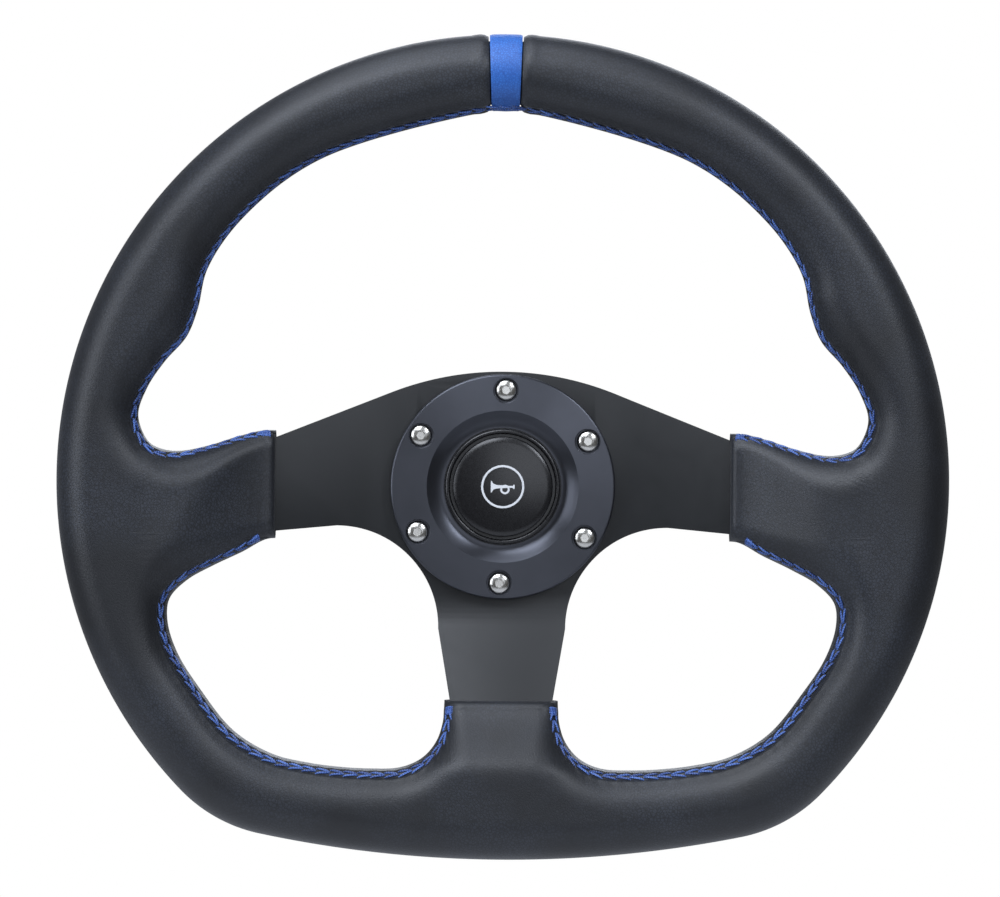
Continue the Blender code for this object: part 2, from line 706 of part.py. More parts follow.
def build_rim(body, plate_space):
    last = len(INNER_EDGE) - 1
    seam = GAP / STRIPE_HALF_INNER
    end = last - 0.02
    places = station_places(1.0, end)
    right = finish("leather_right", shell_mesh(places), "leather", body)
    left = finish("leather_left", shell_mesh([-u for u in reversed(places)]), "leather", body)
    finish("centre_stripe", shell_mesh([-(1 - seam), 0.0, 1 - seam]), "blue_leather", body)

    cover_right, cover_left, cover_lower = end_cutters("cover", 0.0)
    cut(right, cover_right, cover_lower)
    cut(left, cover_left, cover_lower)

    places = station_places(0, last)
    rings = [section(u, LEATHER + FOAM_GAP) for u in places]
    rings += [section(-u, LEATHER + FOAM_GAP) for u in reversed(places[1:-1])]
    bm, _ = skin_mesh(rings, closed=True)
    foam = finish("rim_foam", bm, "foam", body)
    tunnel = ring_tube("armature_tunnel", ARMATURE_RADIUS + GAP)
    cut(foam, tunnel, plate_space, *end_cutters("foam", FOAM_SETBACK))
    ring_tube("rim_armature", ARMATURE_RADIUS, "steel", body)
    build_stitches(body)


# ---------------------------------------------------------------- spoke plate


def plate_outline():
    """The right half of the plate's outline, from the top middle down to the lower spoke's end."""
    centre_z = PLATE_TOP_Z - PLATE_TOP_RADIUS
    span = math.asin(PLATE_TOP_SPAN / PLATE_TOP_RADIUS)
    points = [
        (PLATE_TOP_RADIUS * math.sin(span * k / 4), centre_z + PLATE_TOP_RADIUS * math.cos(span * k / 4))
        for k in range(5)
    ]
    arm_end = RIM_RADIUS - RIM_HALF_WIDTH - ARMATURE_RADIUS - 5 * GAP
    points += [
        (SIDE_ROOT_X, points[-1][1] - (SIDE_ROOT_X - PLATE_TOP_SPAN) * math.tan(span)),
        (SIDE_ROOT_X + ARM_NECK, ARM_TOP_Z),
        (SIDE_ROOT_X + ARM_TIP, ARM_TIP_TOP_Z),
        (arm_end, ARM_TIP_TOP_Z),
        (arm_end, ARM_TIP_LOW_Z),
        (SIDE_ROOT_X + ARM_NECK, ARM_LOW_Z),
        (SIDE_ROOT_X, ARM_LOW_Z - 0.002),
    ]
    fillet_x = SPOKE_HALF_WIDTH + PLATE_FILLET
    points += [
        (fillet_x + PLATE_FILLET * math.cos(a), ARM_LOW_Z - PLATE_FILLET + PLATE_FILLET * math.sin(a))
        for a in np.linspace(math.pi / 2, math.pi, 8)
    ]
    spoke_end = RIM_BOTTOM_Z + RIM_HALF_WIDTH + ARMATURE_RADIUS + 2 * GAP
    points += [
        (SPOKE_NECK_HALF, LOWER_ROOT_Z),
        (SPOKE_TIP_HALF + EDGE, LOWER_ROOT_Z - ARM_NECK),
        (SPOKE_TIP_HALF, spoke_end),
    ]
    return points


def grown(outline, distance):
    """The outline moved outwards by the same distance everywhere. It runs clockwise."""
    points = np.array(outline)
    before = points - np.roll(points, 1, axis=0)
    after = np.roll(points, -1, axis=0) - points
    before /= np.linalg.norm(before, axis=1)[:, None]
    after /= np.linalg.norm(after, axis=1)[:, None]
    n1 = np.stack((-before[:, 1], before[:, 0]), axis=1)
    n2 = np.stack((-after[:, 1], after[:, 0]), axis=1)
    miter = (n1 + n2) / (1 + (n1 * n2).sum(1))[:, None]
    return [tuple(p) for p in points + miter * distance]


def plate_mesh(grow):
    right = plate_outline()
    outline = right + [(-x, z) for x, z in reversed(right[1:])]
    bm = bmesh.new()
    prism_mesh(bm, grown(outline, grow), PLATE_FRONT_Y - grow, PLATE_BACK_Y + grow)
    planes = [(x, 0.0, (1, 0, 0)) for x in (PLATE_BEND, PLATE_BEND_END_X, -PLATE_BEND, -PLATE_BEND_END_X)]
    planes += [(0.0, -z, (0, 0, 1)) for z in (PLATE_BEND, PLATE_BEND_END_Z)]
    for x, z, normal in planes:
        geom = bm.verts[:] + bm.edges[:] + bm.faces[:]
        bmesh.ops.bisect_plane(bm, geom=geom, dist=1e-7, plane_co=(x, 0, z), plane_no=normal)
    for vertex in bm.verts:
        vertex.co.y -= PLATE_DISH * dish(vertex.co.x, vertex.co.z)
    return bm


def build_plate(body):
    plate = finish("spoke_plate", plate_mesh(0.0), "black_paint", body)
    space = finish("plate_space", plate_mesh(GAP))
    low, high = PLATE_FRONT_Y - GAP, PLATE_BACK_Y + GAP
    centre = hole_cutter("plate_hole", [(0.0, 0.0)], PLATE_HOLE_RADIUS, low, high, SEGMENTS)
    screws = hole_cutter("plate_screw_holes", pattern_places(), SCREW_SHANK_RADIUS + GAP, low, high)
    cut(plate, centre, screws)
    return space


# ---------------------------------------------------------------- column base


def spline_mesh(grow, y_low, y_high):
    """The splines as blocks along the column. Their roots lie inside the boss."""
    tip = BOSS_RADIUS + SPLINE_HEIGHT + grow
    root = BOSS_RADIUS - SPLINE_HEIGHT
    bm = bmesh.new()
    for k in range(SPLINE_COUNT):
        along = Vector((math.cos(math.tau * k / SPLINE_COUNT), math.sin(math.tau * k / SPLINE_COUNT)))
        across = Vector((-along.y, along.x)) * (SPLINE_WIDTH / 2 + grow)
        corners = (along * root - across, along * tip - across, along * tip + across, along * root + across)
        prism_mesh(bm, [tuple(corner) for corner in corners], y_low, y_high)
    return bm


def build_base():
    groove = BALL_RADIUS + SLIDE_GAP
    half = math.acos((BALL_LOCKED_RADIUS - BOSS_RADIUS) / groove)
    groove_points = [
        (BALL_LOCKED_RADIUS - groove * math.cos(a), BALL_Y + groove * math.sin(a))
        for a in np.linspace(half, -half, 5)
    ]
    profile = [
        (BORE_RADIUS, 0.0),
        (FLANGE_RADIUS, 0.0),
        (FLANGE_RADIUS, -BASE_FLANGE + EDGE),
        (FLANGE_RADIUS - EDGE, -BASE_FLANGE),
        (BOSS_RADIUS, -BASE_FLANGE),
        *groove_points,
        (BOSS_RADIUS, NOSE_Y + NOSE_CHAMFER),
        (BOSS_RADIUS - EDGE, NOSE_Y),
        (BORE_RADIUS, NOSE_Y),
    ]
    base = turned("base_hub", profile, "silver_anodised")
    splines = finish("base_splines", spline_mesh(0.0, SPLINE_END_Y, -BASE_FLANGE / 2))
    combine(base, splines, "UNION")
    hole = SCREW_SHANK_RADIUS + GAP
    low, floor = -2 * BASE_FLANGE, BASE_COUNTERBORE_DEPTH - BASE_FLANGE
    through = hole_cutter("base_holes", pattern_places(), hole, low, EDGE)
    counterbores = hole_cutter("base_counterbores", pattern_places(), BASE_COUNTERBORE_RADIUS, low, floor)
    cut(base, through, counterbores)
    insulator_back = NOSE_Y - GAP
    insulator_front = insulator_back - INSULATOR_THICKNESS
    insulator = tube_profile(INSULATOR_INNER, INSULATOR_OUTER, insulator_front, insulator_back)
    turned("contact_insulator", insulator, "matte_black")
    ring_back = insulator_front - GAP
    contact = tube_profile(CONTACT_INNER, CONTACT_OUTER, ring_back - CONTACT_THICKNESS, ring_back)
    turned("contact_ring", contact, "brass")
    return ring_back - CONTACT_THICKNESS


# ---------------------------------------------------------------- wheel-side hub, collar and balls


def ball_holes():
    bm = bmesh.new()
    for k in range(BALL_COUNT):
        cone = bmesh.ops.create_cone(
            bm, cap_ends=True, segments=10, radius1=BALL_RADIUS + GAP, radius2=BALL_RADIUS + GAP,
            depth=BALL_HOLE_DEPTH,
        )
        turn = Vector((0, 0, 1)).rotation_difference(ball_direction(k)).to_matrix()
        bmesh.ops.rotate(bm, verts=cone["verts"], matrix=turn)
        place = ball_direction(k) * BALL_LOCKED_RADIUS + Vector((0, BALL_Y, 0))
        bmesh.ops.translate(bm, verts=cone["verts"], vec=place)
    return finish("ball_holes", bm)


def ball_direction(k):
    angle = math.tau * (k + 0.5) / BALL_COUNT
    return Vector((math.cos(angle), 0.0, math.sin(angle)))


def build_hub(wheel):
    profile = [
        (SLEEVE_BORE_RADIUS, SLEEVE_REAR_Y),
        (SLEEVE_RADIUS, SLEEVE_REAR_Y),
        (SLEEVE_RADIUS, SNAP_RING_REAR_Y + GAP),
        (SNAP_GROOVE_RADIUS, SNAP_RING_REAR_Y + GAP),
        (SNAP_GROOVE_RADIUS, SNAP_RING_FRONT_Y - GAP),
        (SLEEVE_RADIUS, SNAP_RING_FRONT_Y - GAP),
        (SLEEVE_RADIUS, HUB_FLANGE_REAR_Y),
        (FLANGE_RADIUS - EDGE, HUB_FLANGE_REAR_Y),
        (FLANGE_RADIUS, HUB_FLANGE_REAR_Y - EDGE),
        (FLANGE_RADIUS, HUB_FRONT_Y),
        (HUB_HOLLOW_RADIUS, HUB_FRONT_Y),
        (HUB_HOLLOW_RADIUS, WEB_FRONT_Y),
        (WIRE_HOLE_RADIUS, WEB_FRONT_Y),
        (WIRE_HOLE_RADIUS, WEB_REAR_Y),
        (SLEEVE_BORE_RADIUS, WEB_REAR_Y),
    ]
    hub = turned("quick_release_hub", profile, "black_anodised", wheel)
    grooves = finish("spline_grooves", spline_mesh(GAP, SPLINE_END_Y - 2 * GAP, 0.0))
    hole = SCREW_SHANK_RADIUS + GAP
    low, high = HUB_FRONT_Y - GAP, HUB_FLANGE_REAR_Y + GAP
    screws = hole_cutter("hub_screw_holes", pattern_places(), hole, low, high)
    low, high = WEB_FRONT_Y - GAP, WEB_REAR_Y + GAP
    pin = hole_cutter("pin_bush_hole", [(0.0, PIN_PLACE)], PIN_BUSH_RADIUS + GAP, low, high)
    cut(hub, grooves, screws, pin, ball_holes())


def build_snap_ring(wheel):
    inner, outer = SNAP_GROOVE_RADIUS + GAP, SLEEVE_RADIUS + SNAP_RING_PROUD
    profile = tube_profile(inner, outer, SNAP_RING_FRONT_Y, SNAP_RING_REAR_Y)
    ring = turned("snap_ring", profile, "steel", wheel)
    half = SNAP_RING_OPENING / 2
    low = (-half, SNAP_RING_FRONT_Y - GAP, -1.2 * outer)
    high = (half, SNAP_RING_REAR_Y + GAP, -0.8 * inner)
    cut(ring, box_cutter("snap_ring_opening", low, high))


def build_collar(body, wheel):
    """The collar held back: its rear lip is a travel away from the snap ring that stops it."""
    rear = SNAP_RING_FRONT_Y - GAP - COLLAR_TRAVEL
    front = rear - COLLAR_LENGTH
    slope = BALL_TRAVEL / COLLAR_TRAVEL
    cone_start = BALL_Y - (COLLAR_POCKET_RADIUS - COLLAR_LAND_RADIUS) / slope
    bore = COLLAR_SPRING_RADIUS + COLLAR_SPRING_WIRE + 4 * GAP
    seat = front + SPRING_POCKET
    profile = [
        (COLLAR_LAND_RADIUS, rear),
        (COLLAR_RADIUS - COLLAR_EDGE, rear),
        (COLLAR_RADIUS, rear - COLLAR_EDGE),
        (COLLAR_RADIUS, front + COLLAR_TAPER),
        (COLLAR_RADIUS - COLLAR_EDGE, front),
        (bore, front),
        (bore, seat),
        (COLLAR_LAND_RADIUS, seat),
        (COLLAR_LAND_RADIUS, cone_start),
        (COLLAR_POCKET_RADIUS, BALL_Y),
        (COLLAR_POCKET_RADIUS, rear - COLLAR_LIP),
        (COLLAR_LAND_RADIUS, rear - COLLAR_LIP),
    ]
    collar = turned("release_collar", profile, "black_anodised", body)
    places = circle_points((0.0, 0.0), COLLAR_RADIUS + FLUTE_OUTSET, FLUTE_COUNT)
    flutes = hole_cutter("collar_flutes", places, FLUTE_RADIUS, front + FLUTE_START, rear - FLUTE_END, 6)
    cut(collar, flutes)
    low, high = HUB_FLANGE_REAR_Y + GAP, seat - GAP
    sizes = (COLLAR_SPRING_RADIUS, COLLAR_SPRING_WIRE, low, high, COLLAR_SPRING_TURNS)
    spring("collar_spring", *sizes, wheel)


def build_balls(wheel):
    for k in range(BALL_COUNT):
        bm = bmesh.new()
        bmesh.ops.create_icosphere(bm, subdivisions=2, radius=BALL_RADIUS)
        place = ball_direction(k) * BALL_FREE_RADIUS + Vector((0, BALL_Y, 0))
        finish(f"lock_ball_{k + 1}", bm, "screw_steel", wheel, place)


# ---------------------------------------------------------------- trim ring and horn push


def cove_points():
    """The hollow that sinks from the ring's flat face to its centre hole."""
    return [
        (
            RING_HOLE_RADIUS + RING_COVE_WIDTH * (1 - t),
            RING_FRONT_Y + RING_COVE_DEPTH * math.sin(t * math.pi / 2),
        )
        for t in np.linspace(0, 1, 5)
    ]


def build_ring(body):
    profile = [
        (RING_HOLE_RADIUS, RING_BACK_Y),
        (RING_RADIUS, RING_BACK_Y),
        (RING_RADIUS, RING_FRONT_Y + RING_EDGE),
        (RING_RADIUS - RING_EDGE, RING_FRONT_Y),
        *cove_points(),
    ]
    ring = turned("trim_ring", profile, "black_anodised", body)
    low, floor = RING_FRONT_Y - GAP, RING_FRONT_Y + COUNTERBORE_DEPTH
    hole = SCREW_SHANK_RADIUS + GAP
    through = hole_cutter("ring_screw_holes", pattern_places(), hole, low, RING_BACK_Y + GAP)
    counterbores = hole_cutter("ring_counterbores", pattern_places(), COUNTERBORE_RADIUS, low, floor)
    cut(ring, through, counterbores)


def build_screws(body):
    head_back = RING_FRONT_Y + COUNTERBORE_DEPTH - GAP
    head_front = head_back - SCREW_HEAD_HEIGHT
    tip = HUB_FLANGE_REAR_Y - EDGE
    profile = [
        (0.0, tip),
        (SCREW_SHANK_RADIUS, tip),
        (SCREW_SHANK_RADIUS, head_back),
        (SCREW_HEAD_RADIUS, head_back),
        (SCREW_HEAD_RADIUS, head_back - 0.4 * SCREW_HEAD_HEIGHT),
        (0.6 * SCREW_HEAD_RADIUS, head_front),
        (SCREW_SOCKET_RADIUS, head_front),
        (SCREW_SOCKET_RADIUS, head_front + SCREW_SOCKET_DEPTH),
        (0.0, head_front + SCREW_SOCKET_DEPTH),
    ]
    for k, (x, z) in enumerate(pattern_places()):
        turned(f"ring_screw_{k + 1}", profile, "screw_steel", body, (x, 0.0, z), steps=8)


# Places of the horn's layers along the axis, from the driver's side to the column
LIP_FRONT_Y = RING_FRONT_Y + LIP_SETBACK
LIP_BACK_Y = LIP_FRONT_Y + LIP_HEIGHT
CAP_RIM_Y = RING_FRONT_Y - CAP_SETBACK
CAP_FRONT_Y = CAP_RIM_Y - CAP_CROWN
CAP_FLANGE_FRONT_Y = LIP_BACK_Y + GAP
CAP_FLANGE_BACK_Y = CAP_FLANGE_FRONT_Y + CAP_FLANGE
DISC_BACK_Y = CAP_FLANGE_BACK_Y + CONTACT_DISC_DROP
DISC_FRONT_Y = DISC_BACK_Y - CONTACT_THICKNESS
BOARD_FRONT_Y = HUB_FRONT_Y + BOARD_SETBACK
BOARD_BACK_Y = BOARD_FRONT_Y + BOARD_THICKNESS
STRIP_FRONT_Y = BOARD_BACK_Y + GAP
STRIP_BACK_Y = STRIP_FRONT_Y + CONTACT_THICKNESS


def build_housing(wheel):
    outer = RING_HOLE_RADIUS - SLIDE_GAP
    shoulder = PLATE_HOLE_RADIUS - EDGE
    skirt = HUB_HOLLOW_RADIUS - SLIDE_GAP
    ledge = HOUSING_BORE_RADIUS - HOUSING_LEDGE
    profile = [
        (LIP_RADIUS, LIP_FRONT_Y),
        (outer, LIP_FRONT_Y),
        (outer, RING_BACK_Y + GAP),
        (shoulder, RING_BACK_Y + GAP),
        (shoulder, HUB_FRONT_Y - GAP),
        (skirt, HUB_FRONT_Y - GAP),
        (skirt, BOARD_BACK_Y + HOUSING_SKIRT),
        (ledge, BOARD_BACK_Y + HOUSING_SKIRT),
        (ledge, BOARD_BACK_Y + GAP),
        (HOUSING_BORE_RADIUS, BOARD_BACK_Y + GAP),
        (HOUSING_BORE_RADIUS, LIP_BACK_Y),
        (LIP_RADIUS, LIP_BACK_Y),
    ]
    turned("horn_housing", profile, "gloss_black", wheel)


def build_button(button):
    inner = CAP_RADIUS - CAP_WALL
    crown_back = CAP_RIM_Y + CAP_WALL - GAP
    profile = [
        (0.0, CAP_FRONT_Y),
        (CAP_RADIUS / 3, CAP_RIM_Y - 0.85 * CAP_CROWN),
        (2 * CAP_RADIUS / 3, CAP_RIM_Y - 0.46 * CAP_CROWN),
        (CAP_RADIUS - CAP_CHAMFER, CAP_RIM_Y),
        (CAP_RADIUS, CAP_RIM_Y + CAP_CHAMFER),
        (CAP_RADIUS, CAP_FLANGE_FRONT_Y),
        (CAP_FLANGE_RADIUS, CAP_FLANGE_FRONT_Y),
        (CAP_FLANGE_RADIUS, CAP_FLANGE_BACK_Y),
        (inner, CAP_FLANGE_BACK_Y),
        (inner, crown_back),
        (CAP_STEM_RADIUS, crown_back),
        (CAP_STEM_RADIUS, DISC_FRONT_Y - GAP),
        (0.0, DISC_FRONT_Y - GAP),
    ]
    turned("horn_cap", profile, "gloss_black", button)
    emblem_back = CAP_FRONT_Y - GAP
    emblem = tube_profile(EMBLEM_INNER, EMBLEM_OUTER, emblem_back - EMBLEM_THICKNESS, emblem_back)
    turned("horn_emblem", emblem, "silver_anodised", button)
    disc = tube_profile(CONTACT_DISC_INNER, CONTACT_DISC_RADIUS, DISC_FRONT_Y, DISC_BACK_Y)
    turned("moving_contact", disc, "brass", button)


def build_contacts(wheel):
    """The insulating board and the two riveted contacts that the cap's disc bridges when it is pressed."""
    sheet = tube_profile(RIVET_RADIUS, HOUSING_BORE_RADIUS - GAP, BOARD_FRONT_Y, BOARD_BACK_Y)
    board = turned("contact_board", sheet, "grey_plastic", wheel)
    rivets = [(0.0, RIVET_PLACE), (0.0, -RIVET_PLACE)]
    low, high = BOARD_FRONT_Y - GAP, BOARD_BACK_Y + GAP
    cut(board, hole_cutter("rivet_holes", rivets, RIVET_RADIUS + GAP, low, high))
    pad_front = DISC_BACK_Y + CAP_TRAVEL + GAP
    profile = [
        (0.0, pad_front),
        (RIVET_HEAD_RADIUS, pad_front),
        (RIVET_HEAD_RADIUS, BOARD_FRONT_Y - GAP),
        (RIVET_RADIUS, BOARD_FRONT_Y - GAP),
        (RIVET_RADIUS, STRIP_BACK_Y - GAP),
        (0.0, STRIP_BACK_Y - GAP),
    ]
    near, far = RIVET_PLACE - STRIP_HALF_WIDTH, HOUSING_BORE_RADIUS - STRIP_END
    for name, (x, z), (low, high) in zip(
        ("live_contact", "earth_contact"), rivets, ((near, far), (-far, -near))
    ):
        contact = turned(name, profile, "brass", wheel, (x, 0.0, z), steps=8)
        corner = (-STRIP_HALF_WIDTH, STRIP_FRONT_Y, low)
        strip = box_cutter(f"{name}_strip", corner, (STRIP_HALF_WIDTH, STRIP_BACK_Y, high))
        combine(contact, strip, "UNION")
    sizes = (HORN_SPRING_RADIUS, HORN_SPRING_WIRE, DISC_BACK_Y + GAP, BOARD_FRONT_Y - GAP, HORN_SPRING_TURNS)
    spring("horn_spring", *sizes, wheel)


def build_pin(wheel, contact_y):
    """The sprung pin that carries the horn's wire across the quick release to the base's contact ring."""
    place = (0.0, 0.0, PIN_PLACE)
    bush_front = WEB_FRONT_Y - PIN_BUSH_HEAD
    bush = tube_profile(PIN_RADIUS + GAP, PIN_BUSH_RADIUS, bush_front, WEB_REAR_Y)
    turned("pin_bush", bush, "grey_plastic", wheel, place, steps=8)
    head_back = bush_front - GAP
    head_front = head_back - PIN_HEAD
    nose = contact_y - GAP
    pin = [
        (0.0, nose),
        (PIN_RADIUS - PIN_NOSE, nose),
        (PIN_RADIUS, nose - PIN_NOSE),
        (PIN_RADIUS, head_back),
        (PIN_HEAD_RADIUS, head_back),
        (PIN_HEAD_RADIUS, head_front),
        (0.0, head_front),
    ]
    turned("contact_pin", pin, "brass", wheel, place, steps=8)
    sizes = (PIN_SPRING_RADIUS, PIN_SPRING_WIRE, STRIP_BACK_Y + GAP, head_front - GAP, PIN_SPRING_TURNS)
    spring("pin_spring", *sizes, wheel, place, steps=8)


# ---------------------------------------------------------------- assembly


def main():
    clear_scene()
    for name in MATERIALS:
        make_material(name)
    wheel = make_body("wheel_body")
    collar = make_body("collar_body")
    button = make_body("horn_button_body")
    contact_y = build_base()
    build_hub(wheel)
    build_snap_ring(wheel)
    build_collar(collar, wheel)
    build_balls(wheel)
    plate_space = build_plate(wheel)
    build_rim(wheel, plate_space)
    build_ring(wheel)
    build_screws(wheel)
    build_housing(wheel)
    build_button(button)
    build_contacts(wheel)
    build_pin(wheel, contact_y)


main()
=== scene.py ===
import json
import logging
import math
from collections.abc import Callable
from dataclasses import dataclass, field
from enum import Enum

import bpy
import numpy as np
from mathutils import Matrix, Vector

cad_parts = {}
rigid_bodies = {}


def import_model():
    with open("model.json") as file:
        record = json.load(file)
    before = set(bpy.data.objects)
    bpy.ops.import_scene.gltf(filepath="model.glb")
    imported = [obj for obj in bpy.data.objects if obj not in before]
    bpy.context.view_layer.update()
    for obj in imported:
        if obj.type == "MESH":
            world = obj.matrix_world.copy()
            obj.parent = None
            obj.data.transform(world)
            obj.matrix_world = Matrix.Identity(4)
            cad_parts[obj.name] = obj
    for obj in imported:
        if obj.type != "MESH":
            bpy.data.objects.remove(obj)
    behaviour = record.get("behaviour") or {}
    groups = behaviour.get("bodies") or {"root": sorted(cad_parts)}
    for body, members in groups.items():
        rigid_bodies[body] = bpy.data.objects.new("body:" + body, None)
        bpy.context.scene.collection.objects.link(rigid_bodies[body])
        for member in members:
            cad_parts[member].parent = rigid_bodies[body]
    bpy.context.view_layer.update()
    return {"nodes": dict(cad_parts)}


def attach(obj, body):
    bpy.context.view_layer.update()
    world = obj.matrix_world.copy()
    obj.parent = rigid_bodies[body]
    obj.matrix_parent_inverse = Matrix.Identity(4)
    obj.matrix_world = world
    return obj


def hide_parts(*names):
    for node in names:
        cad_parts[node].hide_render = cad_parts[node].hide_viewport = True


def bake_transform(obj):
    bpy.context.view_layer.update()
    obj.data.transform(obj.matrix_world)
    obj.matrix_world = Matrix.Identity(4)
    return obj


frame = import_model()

LOG = logging.getLogger("steering_wheel")
MM = 0.001
PATTERN_RADIUS = 0.035
PATTERN_TURN = math.radians(90 - 1.6)
Pair = tuple[float, float]
Triple = tuple[float, float, float]
Thing = bpy.types.Object
Tree = bpy.types.NodeTree
Socket = bpy.types.NodeSocket
Array = np.ndarray


class Body(str, Enum):
    """The moving bodies that pieces ride on."""

    BASE = "column_base"
    WHEEL = "wheel"
    COLLAR = "release_collar"
    BUTTON = "horn_button"
    PIN = "horn_pin"


# ---------------------------------------------------------------- finishes


def linear(colour: str) -> tuple[float, float, float, float]:
    """Turns an sRGB hex colour into linear light.

    Args:
        colour: six hex digits after a hash.

    Returns:
        Red, green, blue and an alpha of one.
    """
    parts = [int(colour[k:k + 2], 16) / 255 for k in (1, 3, 5)]
    curve = [c / 12.92 if c <= 0.04045 else ((c + 0.055) / 1.055) ** 2.4 for c in parts]
    return (*curve, 1.0)


def add(tree: Tree, kind: str, settings: dict | None = None, links: dict | None = None) -> bpy.types.NodeOutputs:
    """Adds one shader node.

    Args:
        tree: the node tree.
        kind: the node's type, without its usual first words.
        settings: values by socket or property name.
        links: the output that feeds each named input.

    Returns:
        The new node's outputs.
    """
    node = tree.nodes.new("ShaderNode" + kind)
    for key, value in (settings or {}).items():
        if isinstance(key, str) and key in node.bl_rna.properties:
            setattr(node, key, value)
        else:
            node.inputs[key].default_value = value
    for key, output in (links or {}).items():
        tree.links.new(output, node.inputs[key])
    return node.outputs


def per_mm(size: float) -> float:
    """The texture scale at which one cell of a pattern is this many millimetres."""
    return 1 / (size * MM)


@dataclass(frozen=True)
class Finish:
    """A surface finish. Its kinds add their own pattern to the shared shader.

    Args:
        name: the finish in a maker's words.
        dark: the colour of the pattern's low or worn parts.
        light: the colour of its high parts.
        roughness: the shader's middle roughness.
        metallic: one for bare and anodised metal.
        spread: how far the roughness wanders either way.
    """

    name: str
    dark: str
    light: str
    roughness: float
    metallic: float = 0.0
    spread: float = 0.05

    def make(self) -> bpy.types.Material:
        """Builds the material once and returns it from then on."""
        found = bpy.data.materials.get(self.name)
        if found:
            return found
        material = bpy.data.materials.new(self.name)
        material.use_nodes = True
        tree = material.node_tree
        self.pattern(tree, {"Vector": add(tree, "TexCoord")["Object"]})
        return material

    def join(self, tree: Tree, tone: Socket, wear: Socket, height: Socket, strength: float, depth: float,
             values: dict[str, float] | None = None) -> None:
        """Joins a finish's patterns to its shader.

        Args:
            tree: the material's node tree.
            tone: zero for the dark colour, one for the light one.
            wear: moves the roughness from its low end to its high end.
            height: the relief.
            strength: how much of the relief shows.
            depth: the relief's depth in millimetres.
            values: more values that the shader takes as they are.
        """
        shader = tree.nodes["Principled BSDF"].inputs
        for key, value in {"Metallic": self.metallic, **(values or {})}.items():
            shader[key].default_value = value
        mix = add(tree, "Mix", {"data_type": "RGBA", 6: linear(self.dark), 7: linear(self.light)}, {0: tone})
        ends = {"To Min": self.roughness - self.spread, "To Max": self.roughness + self.spread}
        rough = add(tree, "MapRange", ends, {"Value": wear})
        bump = add(tree, "Bump", {"Strength": strength, "Distance": depth * MM}, {"Height": height})
        for key, output in (("Base Color", mix[2]), ("Roughness", rough[0]), ("Normal", bump[0])):
            tree.links.new(output, shader[key])

    def pattern(self, tree: Tree, at: dict[str, Socket]) -> None:
        """Adds the pattern. The plain kind is an even, lightly mottled coat."""
        cloud = add(tree, "TexNoise", {"Scale": per_mm(14), "Detail": 4.0}, at)["Fac"]
        fine = add(tree, "TexNoise", {"Scale": per_mm(0.6), "Detail": 2.0}, at)["Fac"]
        self.join(tree, cloud, fine, fine, 0.5, 0.03)


@dataclass(frozen=True)
class Leather(Finish):
    """Smooth full-grain cowhide with a clear top coat: small flat pebbles, pores and fine pull creases."""

    grain: float = 1.1
    relief: float = 0.055

    def pattern(self, tree: Tree, at: dict[str, Socket]) -> None:
        """Adds the grain, its creases and the slow change of tone across a hide."""
        warp = add(tree, "TexNoise", {"Scale": per_mm(6), "Detail": 2.0}, at)["Color"]
        shift = add(tree, "VectorMath", {"operation": "SCALE", "Scale": 1.2 * MM}, {0: warp})[0]
        bent = add(tree, "VectorMath", {"operation": "ADD"}, {0: at["Vector"], 1: shift})[0]
        cells = add(tree, "TexVoronoi", {"feature": "DISTANCE_TO_EDGE", "Scale": per_mm(self.grain)},
                    {"Vector": bent})["Distance"]
        pebble = add(tree, "MapRange", {"From Max": 0.22}, {"Value": cells})[0]
        pores = add(tree, "TexNoise", {"Scale": per_mm(0.5), "Detail": 3.0}, at)["Fac"]
        folds = add(tree, "TexNoise", {"Scale": per_mm(9), "Detail": 5.0, "Roughness": 0.62, "Distortion": 1.4},
                    at)["Fac"]
        crease = add(tree, "Math", {"operation": "SUBTRACT", 1: 0.5}, {0: folds})[0]
        line = add(tree, "Math", {"operation": "ABSOLUTE"}, {0: crease})[0]
        thin = add(tree, "MapRange", {"From Max": 0.035}, {"Value": line})[0]
        hide = add(tree, "TexNoise", {"Scale": per_mm(38), "Detail": 3.0}, at)["Fac"]
        tone = add(tree, "MapRange", {"From Min": 0.35, "From Max": 0.65}, {"Value": hide})[0]
        deep = add(tree, "Math", {"operation": "MULTIPLY"}, {0: tone, 1: pebble})[0]
        soft = add(tree, "Math", {"operation": "MULTIPLY", 1: 0.35}, {0: thin})[0]
        raised = add(tree, "Math", {"operation": "MULTIPLY_ADD", 1: 0.65}, {0: pebble, 2: soft})[0]
        both = add(tree, "Math", {"operation": "MULTIPLY_ADD", 1: 0.3}, {0: pores, 2: raised})[0]
        self.join(tree, deep, pores, both, 0.55, self.relief, {"Sheen Weight": 0.12, "Sheen Roughness": 0.4})


